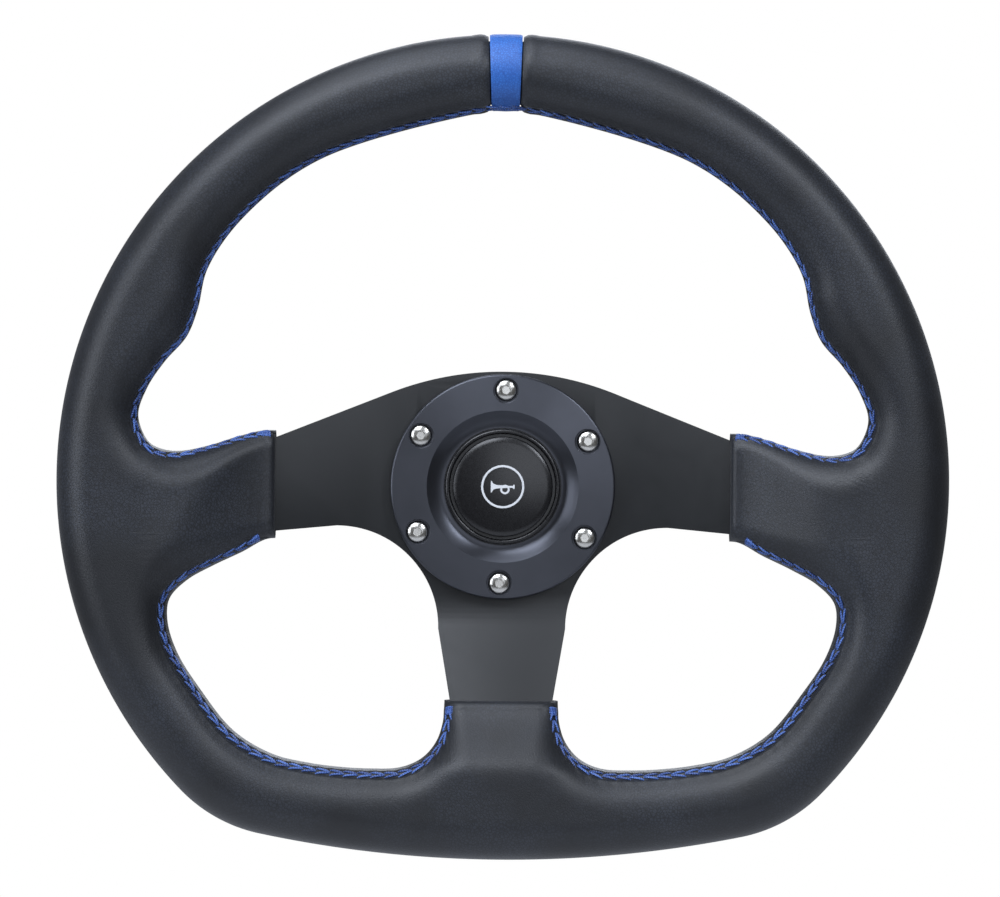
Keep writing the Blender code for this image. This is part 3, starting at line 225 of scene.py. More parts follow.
@dataclass(frozen=True)
class Thread(Finish):
    """Waxed polyester thread of three twisted plies, drawn by the strand's own running length."""

    ply: float = 0.9

    def pattern(self, tree: Tree, at: dict[str, Socket]) -> None:
        """Adds the twist, from the strand's map, as bump and as painted highlight on each ply's crest with painted
        shade between the plies, a tone of each strand's own, and the wear of single strands.
        """
        strand = add(tree, "Attribute", {"attribute_name": "strand"})["Vector"]
        split = add(tree, "SeparateXYZ", links={"Vector": strand})
        turns = add(tree, "Math", {"operation": "MULTIPLY", 1: math.tau / (self.ply * MM)}, {0: split["X"]})[0]
        angle = add(tree, "Math", {"operation": "ADD"}, {0: turns, 1: split["Y"]})[0]
        wave = add(tree, "Math", {"operation": "SINE"}, {0: angle})[0]
        ridge = add(tree, "MapRange", {"From Min": -1.0}, {"Value": wave})[0]
        own = add(tree, "Math", {"operation": "MULTIPLY", 1: 0.55}, {0: split["Z"]})[0]
        # The colour mixes each strand's own tone with the twist's ridges: painted highlight on the crests, painted
        # shade between the plies.
        share = add(tree, "Math", {"operation": "MULTIPLY_ADD", 1: 0.45}, {0: ridge, 2: own})[0]
        fuzz = add(tree, "TexNoise", {"Scale": per_mm(0.25), "Detail": 2.0}, at)["Fac"]
        self.join(tree, share, fuzz, ridge, 0.8, 0.12, {"Sheen Weight": 0.3, "Sheen Roughness": 0.35})


@dataclass(frozen=True)
class Blasted(Finish):
    """A blasted or moulded satin surface: pits a fraction of a millimetre wide under a faintly cloudy coat."""

    pit: float = 0.35

    def pattern(self, tree: Tree, at: dict[str, Socket]) -> None:
        """Adds the pits, the cloudiness of the coat and the marks of handling."""
        pits = add(tree, "TexNoise", {"Scale": per_mm(self.pit), "Detail": 2.0}, at)["Fac"]
        cloud = add(tree, "TexNoise", {"Scale": per_mm(30), "Detail": 3.0}, at)["Fac"]
        handled = add(tree, "TexNoise", {"Scale": per_mm(5), "Detail": 4.0}, at)["Fac"]
        self.join(tree, cloud, handled, pits, 0.35, 0.02)


@dataclass(frozen=True)
class Turned(Finish):
    """Metal turned on a lathe about the column axis: fine rings that draw highlights into a bow tie."""

    feed: float = 0.22
    grain: float = 0.6

    def pattern(self, tree: Tree, at: dict[str, Socket]) -> None:
        """Adds the tool's rings by distance from the axis and turns the sheen along them."""
        split = add(tree, "SeparateXYZ", links=at)
        flat = add(tree, "CombineXYZ", links={"X": split["X"], "Z": split["Z"]})[0]
        radius = add(tree, "VectorMath", {"operation": "LENGTH"}, {0: flat})["Value"]
        rings = add(tree, "CombineXYZ", links={"X": radius, "Y": split["Y"]})[0]
        feed = add(tree, "TexNoise", {"Scale": per_mm(self.feed), "Detail": 3.0}, {"Vector": rings})["Fac"]
        cloud = add(tree, "TexNoise", {"Scale": per_mm(12), "Detail": 3.0}, at)["Fac"]
        self.join(tree, cloud, feed, feed, 0.35, 0.012, {"Anisotropic": self.grain})
        unit = add(tree, "VectorMath", {"operation": "NORMALIZE"}, {0: flat})[0]
        tree.links.new(unit, tree.nodes["Principled BSDF"].inputs["Tangent"])


@dataclass(frozen=True)
class Moulded(Finish):
    """Injection-moulded ABS: a polished skin with a faint flow ripple and fine handling marks."""

    ripple: float = 7.0

    def pattern(self, tree: Tree, at: dict[str, Socket]) -> None:
        """Adds the slow ripple of the polished tool and the marks of handling."""
        flow = add(tree, "TexNoise", {"Scale": per_mm(self.ripple), "Detail": 1.0}, at)["Fac"]
        marks = add(tree, "TexNoise", {"Scale": per_mm(1.6), "Detail": 6.0, "Roughness": 0.7}, at)["Fac"]
        self.join(tree, marks, marks, flow, 0.12, 0.05, {"IOR": 1.54})


# Aniline-dyed black hide: near black in the pores, charcoal on the pebbles, a soft broad sheen
BLACK_LEATHER = Leather("black full-grain leather", "#14161a", "#282c34", 0.46)
# The marker band: the same hide dyed mid blue, slightly lighter on the pebbles
BLUE_LEATHER = Leather("blue dyed leather", "#1d4f9e", "#2f6fc4", 0.50, grain=0.8)
# Thick blue thread: painted pale highlight along each ply's crest and painted shade, deep blue, between the plies
BLUE_THREAD = Thread("blue waxed polyester thread", "#10265f", "#5076c4", 0.42)
# Moulded polyurethane core: a matt skin with small closed cells
RIM_FOAM = Blasted("moulded polyurethane foam", "#141416", "#1f2023", 0.85, pit=0.7)
# Black anodised aluminium plate, bead blasted before anodising: an even satin
SATIN_PLATE = Blasted("satin black anodised aluminium plate", "#101214", "#17191b", 0.44)
# Black anodised aluminium turned on a lathe: a dark metal with fine rings
BLACK_TURNED = Turned("black anodised turned aluminium", "#4a4c52", "#55575e", 0.36, metallic=0.95)
# Clear anodised turned aluminium of the column base
SILVER_TURNED = Turned("clear anodised turned aluminium", "#a9abb0", "#bdbfc3", 0.30, metallic=1.0)
# A2 stainless socket screws, lightly tumbled
SCREW_STEEL = Blasted("stainless screw steel", "#b9b7b2", "#d2d0cb", 0.24, metallic=1.0, pit=0.5)
# Hardened bearing steel, polished
BALL_STEEL = Blasted("polished bearing steel", "#b4b6b8", "#cdcfd1", 0.12, metallic=1.0, spread=0.04)
# Drawn spring wire with a thin oil film
SPRING_STEEL = Blasted("drawn spring steel", "#7d7f84", "#a2a4a8", 0.32, metallic=1.0, pit=0.3)
# Mild-steel bar of the rim's frame, under black primer
FRAME_STEEL = Blasted("primed steel bar", "#3d3f42", "#56595d", 0.55, metallic=0.6)
# Polished black ABS of the horn cap and its housing, a little worn
GLOSS_ABS = Moulded("polished black ABS", "#0a0a0c", "#121215", 0.27)
# Black glass-filled nylon insulator
NYLON = Blasted("black glass-filled nylon", "#101113", "#1a1b1e", 0.62, pit=0.5)
# Grey phenolic board and bush
PHENOLIC = Blasted("grey phenolic board", "#4f5157", "#65676d", 0.52, pit=0.4)
# Stamped brass of the horn's contacts, a little tarnished
BRASS = Blasted("tarnished brass", "#a98238", "#d0a653", 0.30, metallic=1.0)
# Pale silver print on the horn cap
SILVER_PRINT = Blasted("silver pad print", "#c3c6ca", "#dfe1e4", 0.45)
# Pale matt floor of the studio
PALE_FLOOR = Finish("matt pale floor", "#cdced1", "#d6d7da", 0.7)


# ---------------------------------------------------------------- making helpers


def pick(piece: Thing | None) -> None:
    """Selects this piece alone, or nothing, as every operator acts on what is selected."""
    for item in bpy.context.view_layer.objects:
        item.select_set(False)
    if piece:
        piece.select_set(True)
    bpy.context.view_layer.objects.active = piece


def set_points(piece: Thing, points: Array | list) -> None:
    """Moves every vertex of a piece to its row of x, y and z."""
    piece.data.vertices.foreach_set("co", np.asarray(points, dtype=np.float32).ravel())
    piece.data.update()


def get_points(piece: Thing) -> Array:
    """Every vertex of a piece, one row each."""
    flat = np.zeros(len(piece.data.vertices) * 3, dtype=np.float32)
    piece.data.vertices.foreach_get("co", flat)
    return flat.reshape(-1, 3).astype(float)


def edit(piece: Thing, *steps: Callable[[], object]) -> None:
    """Takes these steps in edit mode, each with everything selected."""
    pick(piece)
    bpy.ops.object.mode_set(mode="EDIT")
    for step in steps:
        bpy.ops.mesh.select_all(action="SELECT")
        step()
    bpy.ops.object.mode_set(mode="OBJECT")


def face_out() -> None:
    """Turns every selected face outwards."""
    bpy.ops.mesh.normals_make_consistent(inside=False)


def clean(piece: Thing, gap: float = 1e-6) -> None:
    """Merges doubled points and turns every face outwards."""
    edit(piece, lambda: bpy.ops.mesh.remove_doubles(threshold=gap), face_out)


def settle(piece: Thing, name: str, angle: float = 30.0) -> None:
    """Names a piece, puts its place into its mesh and smooths it.

    Args:
        piece: the shaped object.
        name: the finished piece's name.
        angle: edges sharper than this many degrees stay crisp.
    """
    pick(piece)
    bpy.ops.object.transform_apply(location=True, rotation=True, scale=True)
    bpy.ops.object.shade_smooth_by_angle(angle=math.radians(angle))
    piece.name = name
    piece.data.name = name
    pick(None)


def eased(profile: list[Pair], ease: float, limit: float = 25.0) -> list[Pair]:
    """Rounds the corners of a closed profile.

    Args:
        profile: points of radius and y.
        ease: how much of each side the rounding takes.
        limit: corners that turn by less than this many degrees stay.

    Returns:
        The profile with three points at each rounded corner.
    """
    out: list[Pair] = []
    count = len(profile)
    for k, point in enumerate(profile):
        here = np.array(point)
        before, after = np.array(profile[k - 1]) - here, np.array(profile[(k + 1) % count]) - here
        lengths = np.linalg.norm(before), np.linalg.norm(after)
        turn = 180 - math.degrees(math.acos(np.clip(before @ after / (lengths[0] * lengths[1]), -1, 1)))
        size = min(ease, 0.4 * lengths[0], 0.4 * lengths[1])
        if turn < limit or point[0] < 1e-6 or size < 1e-6:
            out.append(point)
            continue
        first, last = here + before / lengths[0] * size, here + after / lengths[1] * size
        out += [tuple(first), tuple(here * 0.5 + (first + last) * 0.25), tuple(last)]
    return out


def lathe(name: str, profile: list[Pair], steps: int = 128, place: Pair = (0.0, 0.0)) -> Thing:
    """Spins a closed profile round an axis along Y.

    Args:
        name: the piece's name.
        profile: points of radius and y.
        steps: sides round the axis.
        place: x and z of the axis.

    Returns:
        The turned object.
    """
    pick(None)
    bpy.ops.mesh.primitive_circle_add(vertices=len(profile), radius=MM, fill_type="NOTHING")
    piece = bpy.context.object
    set_points(piece, [(place[0] + r, y, place[1]) for r, y in profile])
    edit(piece,
         lambda: bpy.ops.mesh.spin(steps=steps, angle=math.tau, center=(place[0], 0.0, place[1]), axis=(0.0, 1.0, 0.0)),
         lambda: bpy.ops.mesh.remove_doubles(threshold=2e-6), face_out)
    piece.name = name
    return piece


def extruded(name: str, outline: list[Pair], low: float, high: float) -> Thing:
    """A flat outline of x and z, extruded along Y.

    Args:
        name: the piece's name.
        outline: the points in order.
        low: y of the first face.
        high: y of the last face.

    Returns:
        The extruded object.
    """
    pick(None)
    bpy.ops.mesh.primitive_circle_add(vertices=len(outline), radius=MM, fill_type="NGON")
    piece = bpy.context.object
    set_points(piece, [(x, low, z) for x, z in outline])
    along = {"value": (0.0, high - low, 0.0)}
    edit(piece, lambda: bpy.ops.mesh.extrude_region_move(TRANSFORM_OT_translate=along), face_out)
    piece.name = name
    return piece


def apply_modifier(piece: Thing, kind: str, **settings: object) -> None:
    """Adds a modifier with these settings and applies it."""
    pick(piece)
    modifier = piece.modifiers.new(kind.lower(), kind)
    for key, value in settings.items():
        setattr(modifier, key, value)
    bpy.ops.object.modifier_apply(modifier=modifier.name)


def combine(piece: Thing, others: list[Thing], operation: str = "DIFFERENCE") -> None:
    """Cuts or joins other shapes into a piece, by a Boolean operation, and removes them."""
    for other in others:
        apply_modifier(piece, "BOOLEAN", object=other, operation=operation, solver="EXACT")
        bpy.data.objects.remove(other, do_unlink=True)


def copied(piece: Thing, name: str, matrix: Matrix) -> Thing:
    """A copy of a piece with its own mesh, moved by a matrix."""
    twin = piece.copy()
    twin.data = piece.data.copy()
    bpy.context.scene.collection.objects.link(twin)
    twin.data.transform(matrix)
    twin.name = name
    twin.data.name = name
    return twin


def circle(place: Pair, radius: float, count: int, turn: float = 0.0) -> list[Pair]:
    """Points evenly round a circle of x and z."""
    angles = [turn + math.tau * k / count for k in range(count)]
    return [(place[0] + radius * math.cos(a), place[1] + radius * math.sin(a)) for a in angles]


def screw_places() -> list[Pair]:
    """The middles of the six screws, x and z."""
    return circle((0.0, 0.0), PATTERN_RADIUS, 6, PATTERN_TURN)


def dress(piece: Thing, finish: Finish, body: Body, slot: str, *nodes: str) -> None:
    """Gives a finished piece its material and its body, and hides the nodes that it stands for.

    Args:
        piece: the finished object.
        finish: its surface.
        body: the body that it moves with.
        slot: the record's material slot; not used.
        nodes: the solids that it replaces.
    """
    piece.data.materials.clear()
    piece.data.materials.append(finish.make())
    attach(piece, body.value)
    if nodes:
        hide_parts(*nodes)
    LOG.info("%s: %d faces, on %s", piece.name, len(piece.data.polygons), body.value)


def dress_nodes(finish: Finish, *names: str) -> None:
    """Gives solids that stay as they are a better material."""
    for name in names:
        for slot in frame["nodes"][name].material_slots:
            slot.material = finish.make()
        LOG.info("%s: kept, in %s", name, finish.name)


# ---------------------------------------------------------------- spoke plate


@dataclass
class SpokePlate:
    """The dished three-spoke plate, cut from sheet with its edges broken."""

    thickness: float = 0.004
    dish: float = 0.020
    bend: float = 0.044
    bend_end_x: float = 0.126
    bend_end_z: float = 0.0996
    bend_radius: float = 0.006
    top_z: float = 0.0417
    top_radius: float = 0.110
    top_span: float = 0.041
    fillet: float = 0.037
    front_y: float = -0.0663
    hole_radius: float = 0.0270
    screw_hole: float = 0.0028
    broken_edge: float = 0.00045

    def outline(self) -> list[Pair]:
        """The right half of the outline, from the top middle down to the lower spoke's end."""
        centre = self.top_z - self.top_radius
        span = math.asin(self.top_span / self.top_radius)
        points = [(self.top_radius * math.sin(span * k / 20), centre + self.top_radius * math.cos(span * k / 20))
                  for k in range(21)]
        points += [(0.082, points[-1][1] - 0.041 * math.tan(span)), (0.088, 0.0142), (0.115, 0.0072),
                   (0.1398, 0.0072), (0.1398, -0.0120), (0.088, -0.0145), (0.082, -0.0165)]
        points += [(0.060 + self.fillet * math.cos(a), -0.0515 + self.fillet * math.sin(a))
                   for a in np.linspace(math.pi / 2, math.pi, 33)]
        return points + [(0.0185, -0.077), (0.016, -0.083), (0.015, -0.1143)]

    def slope(self, value: Array, span: float) -> Array:
        """A straight rise from zero to one over a span, with the bend's radius at both ends."""
        r = self.bend_radius
        first, second = [np.where(v < -r, 0.0, np.where(v > r, v, (v + r) ** 2 / (4 * r)))
                         for v in (value, value - span)]
        return (first - second) / span

    def rise(self, x: Array, z: Array) -> Array:
        """How far the plate has risen towards the driver at these places, from zero to one."""
        return np.maximum(self.slope(abs(x) - self.bend, self.bend_end_x - self.bend),
                          self.slope(-z - self.bend, self.bend_end_z - self.bend))

    def build(self) -> None:
        """Extrudes the outline, cuts the holes, breaks the edges, then presses the dish."""
        right = self.outline()
        outline = right + [(-x, z) for x, z in reversed(right[1:])]
        plate = extruded("spoke_plate_dished", outline, self.front_y, self.front_y + self.thickness)
        low, high = self.front_y - MM, self.front_y + self.thickness + MM
        cutters = [extruded("centre", circle((0.0, 0.0), self.hole_radius, 96), low, high)]
        cutters += [extruded("screw", circle(place, self.screw_hole, 32), low, high) for place in screw_places()]
        combine(plate, cutters)
        apply_modifier(plate, "BEVEL", width=self.broken_edge, segments=3, limit_method="ANGLE",
                       angle_limit=math.radians(40), use_clamp_overlap=True)
        for k in range(-3, 4):
            step = self.bend_radius * k / 3
            planes = [((side * (x + step), 0.0, 0.0), (1.0, 0.0, 0.0))
                      for x in (self.bend, self.bend_end_x) for side in (1, -1)]
            planes += [((0.0, 0.0, -z - step), (0.0, 0.0, 1.0)) for z in (self.bend, self.bend_end_z)]
            for point, normal in planes:
                edit(plate, lambda: bpy.ops.mesh.bisect(plane_co=point, plane_no=normal, threshold=1e-6))
        points = get_points(plate)
        points[:, 1] -= self.dish * self.rise(points[:, 0], points[:, 2])
        set_points(plate, points)
        settle(plate, "spoke_plate_dished")
        dress(plate, SATIN_PLATE, Body.WHEEL, "black_paint", "spoke_plate")


# ---------------------------------------------------------------- padded rim


@dataclass
class PaddedRim:
    """The leather-covered rim: two black covers, the blue marker band and the blue hand stitching.

    The outline is three arcs on each side that meet smoothly, and the inner edge is a smooth line through
    rows of places. A section joins a place of the inner edge to the outline. A place is a number u that
    counts the rows of the edge.
    """

    plate: SpokePlate = field(default_factory=SpokePlate)
    radius: float = 0.160
    centre_z: float = 0.0022
    flat: float = 0.0242
    bottom_radius: float = 0.430
    corner_radius: float = 0.055
    half_width: float = 0.0137
    half_depth: float = 0.0145
    root_half_depth: float = 0.0065
    leather: float = 0.0013
    stripe_inner: float = 0.0053
    stripe_outer: float = 0.00635
    side_root_x: float = 0.082
    lower_root_z: float = -0.077
    root_blend: float = 0.036
    side_root_flank: Pair = (0.030, 0.055)
    lower_root_flank: Pair = (0.026, 0.045)
    side_dish_flank: Pair = (0.045, 0.070)
    lower_dish_flank: Pair = (0.030, 0.055)
    tongue: float = 0.010
    edge_step: float = 0.0033
    rim_y: float = -0.0843
    station_step: float = 0.00125
    seam_points: int = 40
    pitch: float = 0.0049
    strand_radius: float = 0.00043
    strand_sides: int = 6

    def __post_init__(self) -> None:
        """Works out the outline's arcs, the inner edge and the two closed lines."""
        bottom_z = self.centre_z - self.radius + self.flat + self.bottom_radius
        to_top, to_bottom = self.radius - self.corner_radius, self.bottom_radius - self.corner_radius
        span = bottom_z - self.centre_z
        drop = (to_bottom**2 - to_top**2 - span**2) / (2 * span)
        corner = (math.sqrt(to_top**2 - drop**2), self.centre_z - drop)
        self.corner_start = math.degrees(math.atan2(-drop, corner[0]))
        self.corner_end = math.degrees(math.atan2(corner[1] - bottom_z, corner[0]))
        self.arcs = (((0.0, self.centre_z), self.radius), (corner, self.corner_radius),
                     ((0.0, bottom_z), self.bottom_radius))
        self.edge = self.edge_rows()
        self.last = len(self.edge) - 1
        inner = np.array([self.station(u)[0] for u in np.linspace(0, self.last, self.last * 20 + 1)])
        outer = self.outline(np.linspace(90, -90, 361))
        self.inner_loop, self.outer_loop = [np.concatenate([half, half[-2:0:-1] * (-1, 1)])
                                            for half in (inner, outer)]

    def outline(self, direction: Array, inset: float = 0.0) -> Array:
        """The points of the right half of the outline that face these directions, in degrees."""
        direction = np.atleast_1d(direction)
        kind = np.where(direction > self.corner_start, 0, np.where(direction > self.corner_end, 1, 2))
        centres = np.array([arc[0] for arc in self.arcs])[kind]
        radii = np.array([arc[1] for arc in self.arcs])[kind] - inset
        angle = np.radians(direction)
        return centres + radii[:, None] * np.stack((np.cos(angle), np.sin(angle)), axis=1)

    def edge_rows(self) -> list[Triple]:
        """Rows of the inner edge on the right half: x, z and the direction of the outline opposite.

        The rows on the round rim give that direction first, then the padding's width and a slip along the
        outline in millimetres. The rows at the spokes are measured from the padding's ends.
        """
        side = self.radius - self.side_root_x
        lower = self.lower_root_z - (self.centre_z - self.radius + self.flat)
        clear = self.radius - 2 * self.half_width
        upper = ((60.0, 27.4, 0.0), (45.0, 27.4, 0.0), (35.5, 29.6, -0.5), (29.0, 34.3, 0.2), (24.0, 35.2, 0.2),
                 (18.5, 31.4, 1.3), (13.5, 28.1, 1.4), (7.0, 27.3, 6.4), (2.5, 32.2, 7.8), (0.9, 37.4, 8.5))
        root = ((0.453 * side, 11.8, -1.8), (0.297 * side, 14.3, -3.5), (0.141 * side, 18.2, -4.5),
                (self.edge_step, 19.8, -5.2), (-0.6 * self.tongue, 18.4, -5.5), (-self.tongue, 9.0, -5.8),
                (-self.tongue, -9.0, -6.1), (-0.6 * self.tongue, -18.2, -6.4), (self.edge_step, -19.6, -6.9),
                (0.149 * side, -24.1, -8.0), (0.285 * side, -29.2, -9.8))
        window = ((-12.3, 41.6, -11.6), (-15.0, 33.6, -10.8), (-19.0, 29.9, -9.3), (-24.5, 28.2, -8.3),
                  (-33.0, 28.3, -3.6), (-46.0, 28.4, 3.0), (-62.0, 29.5, -6.0), (-76.0, 28.9, -12.4),
                  (-80.6, 28.7, -7.5), (-82.2, 29.6, -7.3), (-83.8, 31.3, -7.1))
        foot = ((28.0, -0.357 * lower, -85.0), (23.0, -0.251 * lower, -86.0), (20.8, -0.124 * lower, -87.0),
                (20.6, -self.edge_step, -87.7), (19.0, 0.6 * self.tongue, -88.2), (9.5, self.tongue, -89.1),
                (0.0, self.tongue, -90.0))
        stripe_z = self.centre_z + math.sqrt(clear**2 - self.stripe_inner**2)
        stripe = math.degrees(math.acos(self.stripe_outer / self.radius))

        def on_rim(direction: float, width: float, slip: float) -> Triple:
            """A row placed from the outline by the padding's width and a slip along it."""
            angle = math.radians(direction)
            along = np.array((-math.sin(angle), math.cos(angle)))
            x, z = self.outline(direction, width * MM)[0] + slip * MM * along
            return x, z, direction

        return [(0.0, self.centre_z + clear, 90.0), (self.stripe_inner, stripe_z, stripe),
                *[on_rim(*row) for row in upper],
                *[(self.side_root_x + out, z * MM, direction) for out, z, direction in root],
                *[on_rim(*row) for row in window],
                *[(x * MM, self.lower_root_z + up, direction) for x, up, direction in foot]]

    def station(self, u: float) -> tuple[Array, Array, float]:
        """A place of the inner edge on the right half, on a centripetal spline through its rows.

        Args:
            u: the place.

        Returns:
            The point, the unit direction along the edge and the outline's direction.
        """
        u = min(max(u, 0.0), self.last)
        k = min(int(u), self.last - 1)
        t = u - k
        rows = [np.array(self.edge[max(0, min(self.last, k + step))]) for step in (-1, 0, 1, 2)]
        if k == 0:
            rows[0] = rows[2] * (-1, 1, 1) + (0, 0, 2 * (90 - rows[2][2]))
        if k == self.last - 1:
            rows[3] = rows[1] * (-1, 1, 1) + (0, 0, 2 * (-90 - rows[1][2]))
        a, b, c, d = rows
        la, lb, lc = [max(np.linalg.norm(q[:2] - p[:2]), 1e-6) ** 0.5 for p, q in ((a, b), (b, c), (c, d))]
        start = (c - b) - (c - a) * lb / (la + lb) + (b - a) * lb / la
        end = (c - b) - (d - b) * lb / (lb + lc) + (d - c) * lb / lc
        place = ((2 * t**3 - 3 * t**2 + 1) * b + (t**3 - 2 * t**2 + t) * start
                 + (3 * t**2 - 2 * t**3) * c + (t**3 - t**2) * end)
        slope = (6 * t**2 - 6 * t) * (b - c) + (3 * t**2 - 4 * t + 1) * start + (3 * t**2 - 2 * t) * end
        return place[:2], slope[:2] / max(np.linalg.norm(slope[:2]), 1e-12), place[2]

    @staticmethod
    def run_of(points: Array) -> Array:
        """The length run along a line at each of its points."""
        return np.concatenate([[0.0], np.cumsum(np.linalg.norm(np.diff(points, axis=0), axis=1))])

    def places(self, first: float, last: float, step: float) -> tuple[Array, Array]:
        """Places at even steps along the inner edge, and the length run at each of them."""
        fine = np.linspace(first, last, int((last - first) * 60) + 2)
        run = self.run_of(np.array([self.station(u)[0] for u in fine]))
        even = np.linspace(0.0, run[-1], max(2, round(run[-1] / step)) + 1)
        return np.interp(even, run, fine), even

    @staticmethod
    def ramp(low: float, high: float, value: Array) -> Array:
        """Rises smoothly from zero at low to one at high."""
        t = np.clip((value - low) / (high - low), 0, 1)
        return t * t * (3 - 2 * t)

    def root_share(self, x: Array, z: Array) -> Array:
        """One at the padding's ends on the spokes, falling to zero where the round rim begins."""
        side = 1 - self.ramp(self.side_root_x, self.side_root_x + self.root_blend, abs(x))
        side *= 1 - self.ramp(*self.side_root_flank, abs(z))
        low = 1 - self.ramp(-self.lower_root_z, -self.lower_root_z + 0.7 * self.root_blend, -z)
        low *= 1 - self.ramp(*self.lower_root_flank, abs(x))
        return np.maximum(side, np.where(z < 0, low, 0.0))

    def middle_y(self, x: Array, z: Array) -> Array:
        """The y of the padding's middle: the plate's inside the roots, the rim plane's elsewhere."""
        plate, shares = self.plate, []
        for run, end, aside, flank in ((abs(x), plate.bend_end_x, abs(z), self.side_dish_flank),
                                       (-z, plate.bend_end_z, abs(x), self.lower_dish_flank)):
            out = run - plate.bend
            share = 1 - np.clip(out / (end - plate.bend), 0, 1)
            shares.append(np.where(out > 0, share * (1 - self.ramp(*flank, aside)), 0.0))
        return self.rim_y + plate.dish * np.maximum(*shares)

    @staticmethod
    def distance(loop: Array, points: Array) -> Array:
        """The distance in plan from each point to a closed line."""
        span = np.roll(loop, -1, axis=0) - loop
        out = np.zeros(len(points))
        block_size = 4000
        for first in range(0, len(points), block_size):
            block = points[first:first + block_size, None, :]
            t = np.clip(((block - loop) * span).sum(2) / (span**2).sum(1), 0, 1)
            away = (((loop + span * t[..., None]) - block) ** 2).sum(2).min(1)
            out[first:first + block_size] = np.sqrt(away)
        return out

    @staticmethod
    def ring_shares() -> tuple[Array, int]:
        """Places across the section, dense round the seam, and how many are on the driver's side."""
        front = np.concatenate([np.linspace(0, 0.04, 3), np.linspace(0.05, 0.25, 26),
                                np.linspace(0.275, 0.92, 22), np.linspace(0.95, 1.0, 3)])
        return np.concatenate([front, np.linspace(1.0, 0.0, 27)[1:-1]]), len(front)

    def surface(self, places: Array) -> tuple[Array, Array]:
        """The padding's outer surface over these places of the inner edge.

        Args:
            places: the places of the stations.

        Returns:
            The points by station and place round the section, and each one's distance to the inner edge.
        """
        shares, front = self.ring_shares()
        mix = (1 - np.cos(math.pi * shares)) / 2
        rows = [self.station(u) for u in places]
        start, end = np.array([row[0] for row in rows]), self.outline(np.array([row[2] for row in rows]))
        plan = start[:, None, :] + (end - start)[:, None, :] * mix[None, :, None]
        flat = plan.reshape(-1, 2)
        near = self.distance(self.inner_loop, flat)
        depth = np.minimum(near, self.distance(self.outer_loop, flat))
        blend = self.root_share(flat[:, 0], flat[:, 1])
        width = self.half_width + (self.root_half_depth - self.half_width) * blend
        rise = self.half_depth + (self.root_half_depth - self.half_depth) * blend
        fall = 1 - np.clip(depth / width, 0, 1)
        height = (rise * np.sqrt(np.clip(1 - fall * fall, 0, 1))).reshape(len(places), -1)
        height[:, 0] = 0.0
        steady = self.seam_points // 2
        height[:, :steady] = np.maximum.accumulate(height[:, :steady], axis=1) + np.arange(steady) * 1e-7
        height[:, front - 1] = 0.0
        height[:, front:] *= -1
        middle = self.middle_y(flat[:, 0], flat[:, 1]).reshape(height.shape)
        return np.stack((plan[..., 0], middle - height, plan[..., 1]), axis=2), near.reshape(height.shape)

    @staticmethod
    def normals(points: Array) -> Array:
        """Outward normals of a grid of stations by places round the section, with strays mended."""
        along = np.gradient(points, axis=0)
        around = np.roll(points, -1, axis=1) - np.roll(points, 1, axis=1)
        normal = np.cross(around, along)
        normal /= np.maximum(np.linalg.norm(normal, axis=2, keepdims=True), 1e-12)
        near = sum(np.roll(normal, step, axis=1) for step in (-2, -1, 1, 2))
        near[2:-2] += normal[:-4] + normal[1:-3] + normal[3:-1] + normal[4:]
        near /= np.maximum(np.linalg.norm(near, axis=2, keepdims=True), 1e-12)
        stray = (normal * near).sum(2) < 0.2
        normal[stray] = near[stray]
        centre = points.mean(axis=1, keepdims=True)
        return normal if (normal * (points - centre)).sum(2).mean() >= 0 else -normal

    @staticmethod
    def seam_inset(places: Array) -> Array:
        """How far in plan the seam lies from the inner edge at these places."""
        knots = (0, 8, 10, 11.2, 12.4, 13.4, 14.5, 15.5, 20, 22, 37)
        insets = (0.8, 0.9, 1.4, 1.8, 1.6, 1.1, 1.0, 1.3, 1.5, 1.8, 1.8)
        return np.interp(places, knots, insets) * MM

    def relief(self, points: Array, near: Array, places: Array, run: Array) -> Array:
        """How far the leather stands proud of its plain surface: the seam, its stitch pulls and the soft ridges.

        Args:
            points: the plain surface.
            near: each point's distance to the inner edge.
            places: the places of the stations.
            run: the length along the inner edge at each station.

        Returns:
            One height in metres for each point of the surface.
        """
        step = np.linalg.norm(np.diff(points, axis=1), axis=2)
        length = np.concatenate([np.zeros((len(points), 1)), np.cumsum(step, axis=1)], axis=1)
        count = self.seam_points
        seam = [np.interp(inset, np.maximum.accumulate(row[:count]), line[:count])
                for inset, row, line in zip(self.seam_inset(places), near, length)]
        across = abs(length - np.array(seam)[:, None]) / MM
        stitched = ((places < 15.6) | (places > 19.6)).astype(float)[:, None]
        beat = np.cos(math.tau * run / self.pitch)[:, None]
        groove = -0.55 * np.exp(-(across / 0.55) ** 2)
        puff = 0.22 * np.exp(-((across - 2.9) / 1.1) ** 2)
        pull = -(0.22 + 0.16 * beat) * np.exp(-((across - 1.75) / 0.6) ** 2)
        wave = 0.10 * beat * np.exp(-((across - 3.2) / 1.6) ** 2)
        height = stitched * (groove + puff + pull + wave)
        x, z = points[..., 0] / MM, points[..., 2] / MM
        ridge = 0.0
        for begin, finish, size, broad in (((100, 8), (124, -25), 0.55, 5.0), ((112, 22), (126, 2), 0.3, 4.0)):
            p, q = np.array(begin, float), np.array(finish, float)
            way = (q - p) / np.linalg.norm(q - p)
            aside = (x - p[0]) * -way[1] + (z - p[1]) * way[0]
            onward = ((x - p[0]) * way[0] + (z - p[1]) * way[1]) / np.linalg.norm(q - p)
            ends = np.clip(np.minimum(onward + 0.3, 1.3 - onward) / 0.4, 0, 1)
            ridge = ridge + size * np.exp(-(aside / broad) ** 2) * ends
        return (height + ridge * (points[..., 1] < self.rim_y + 0.01)) * MM

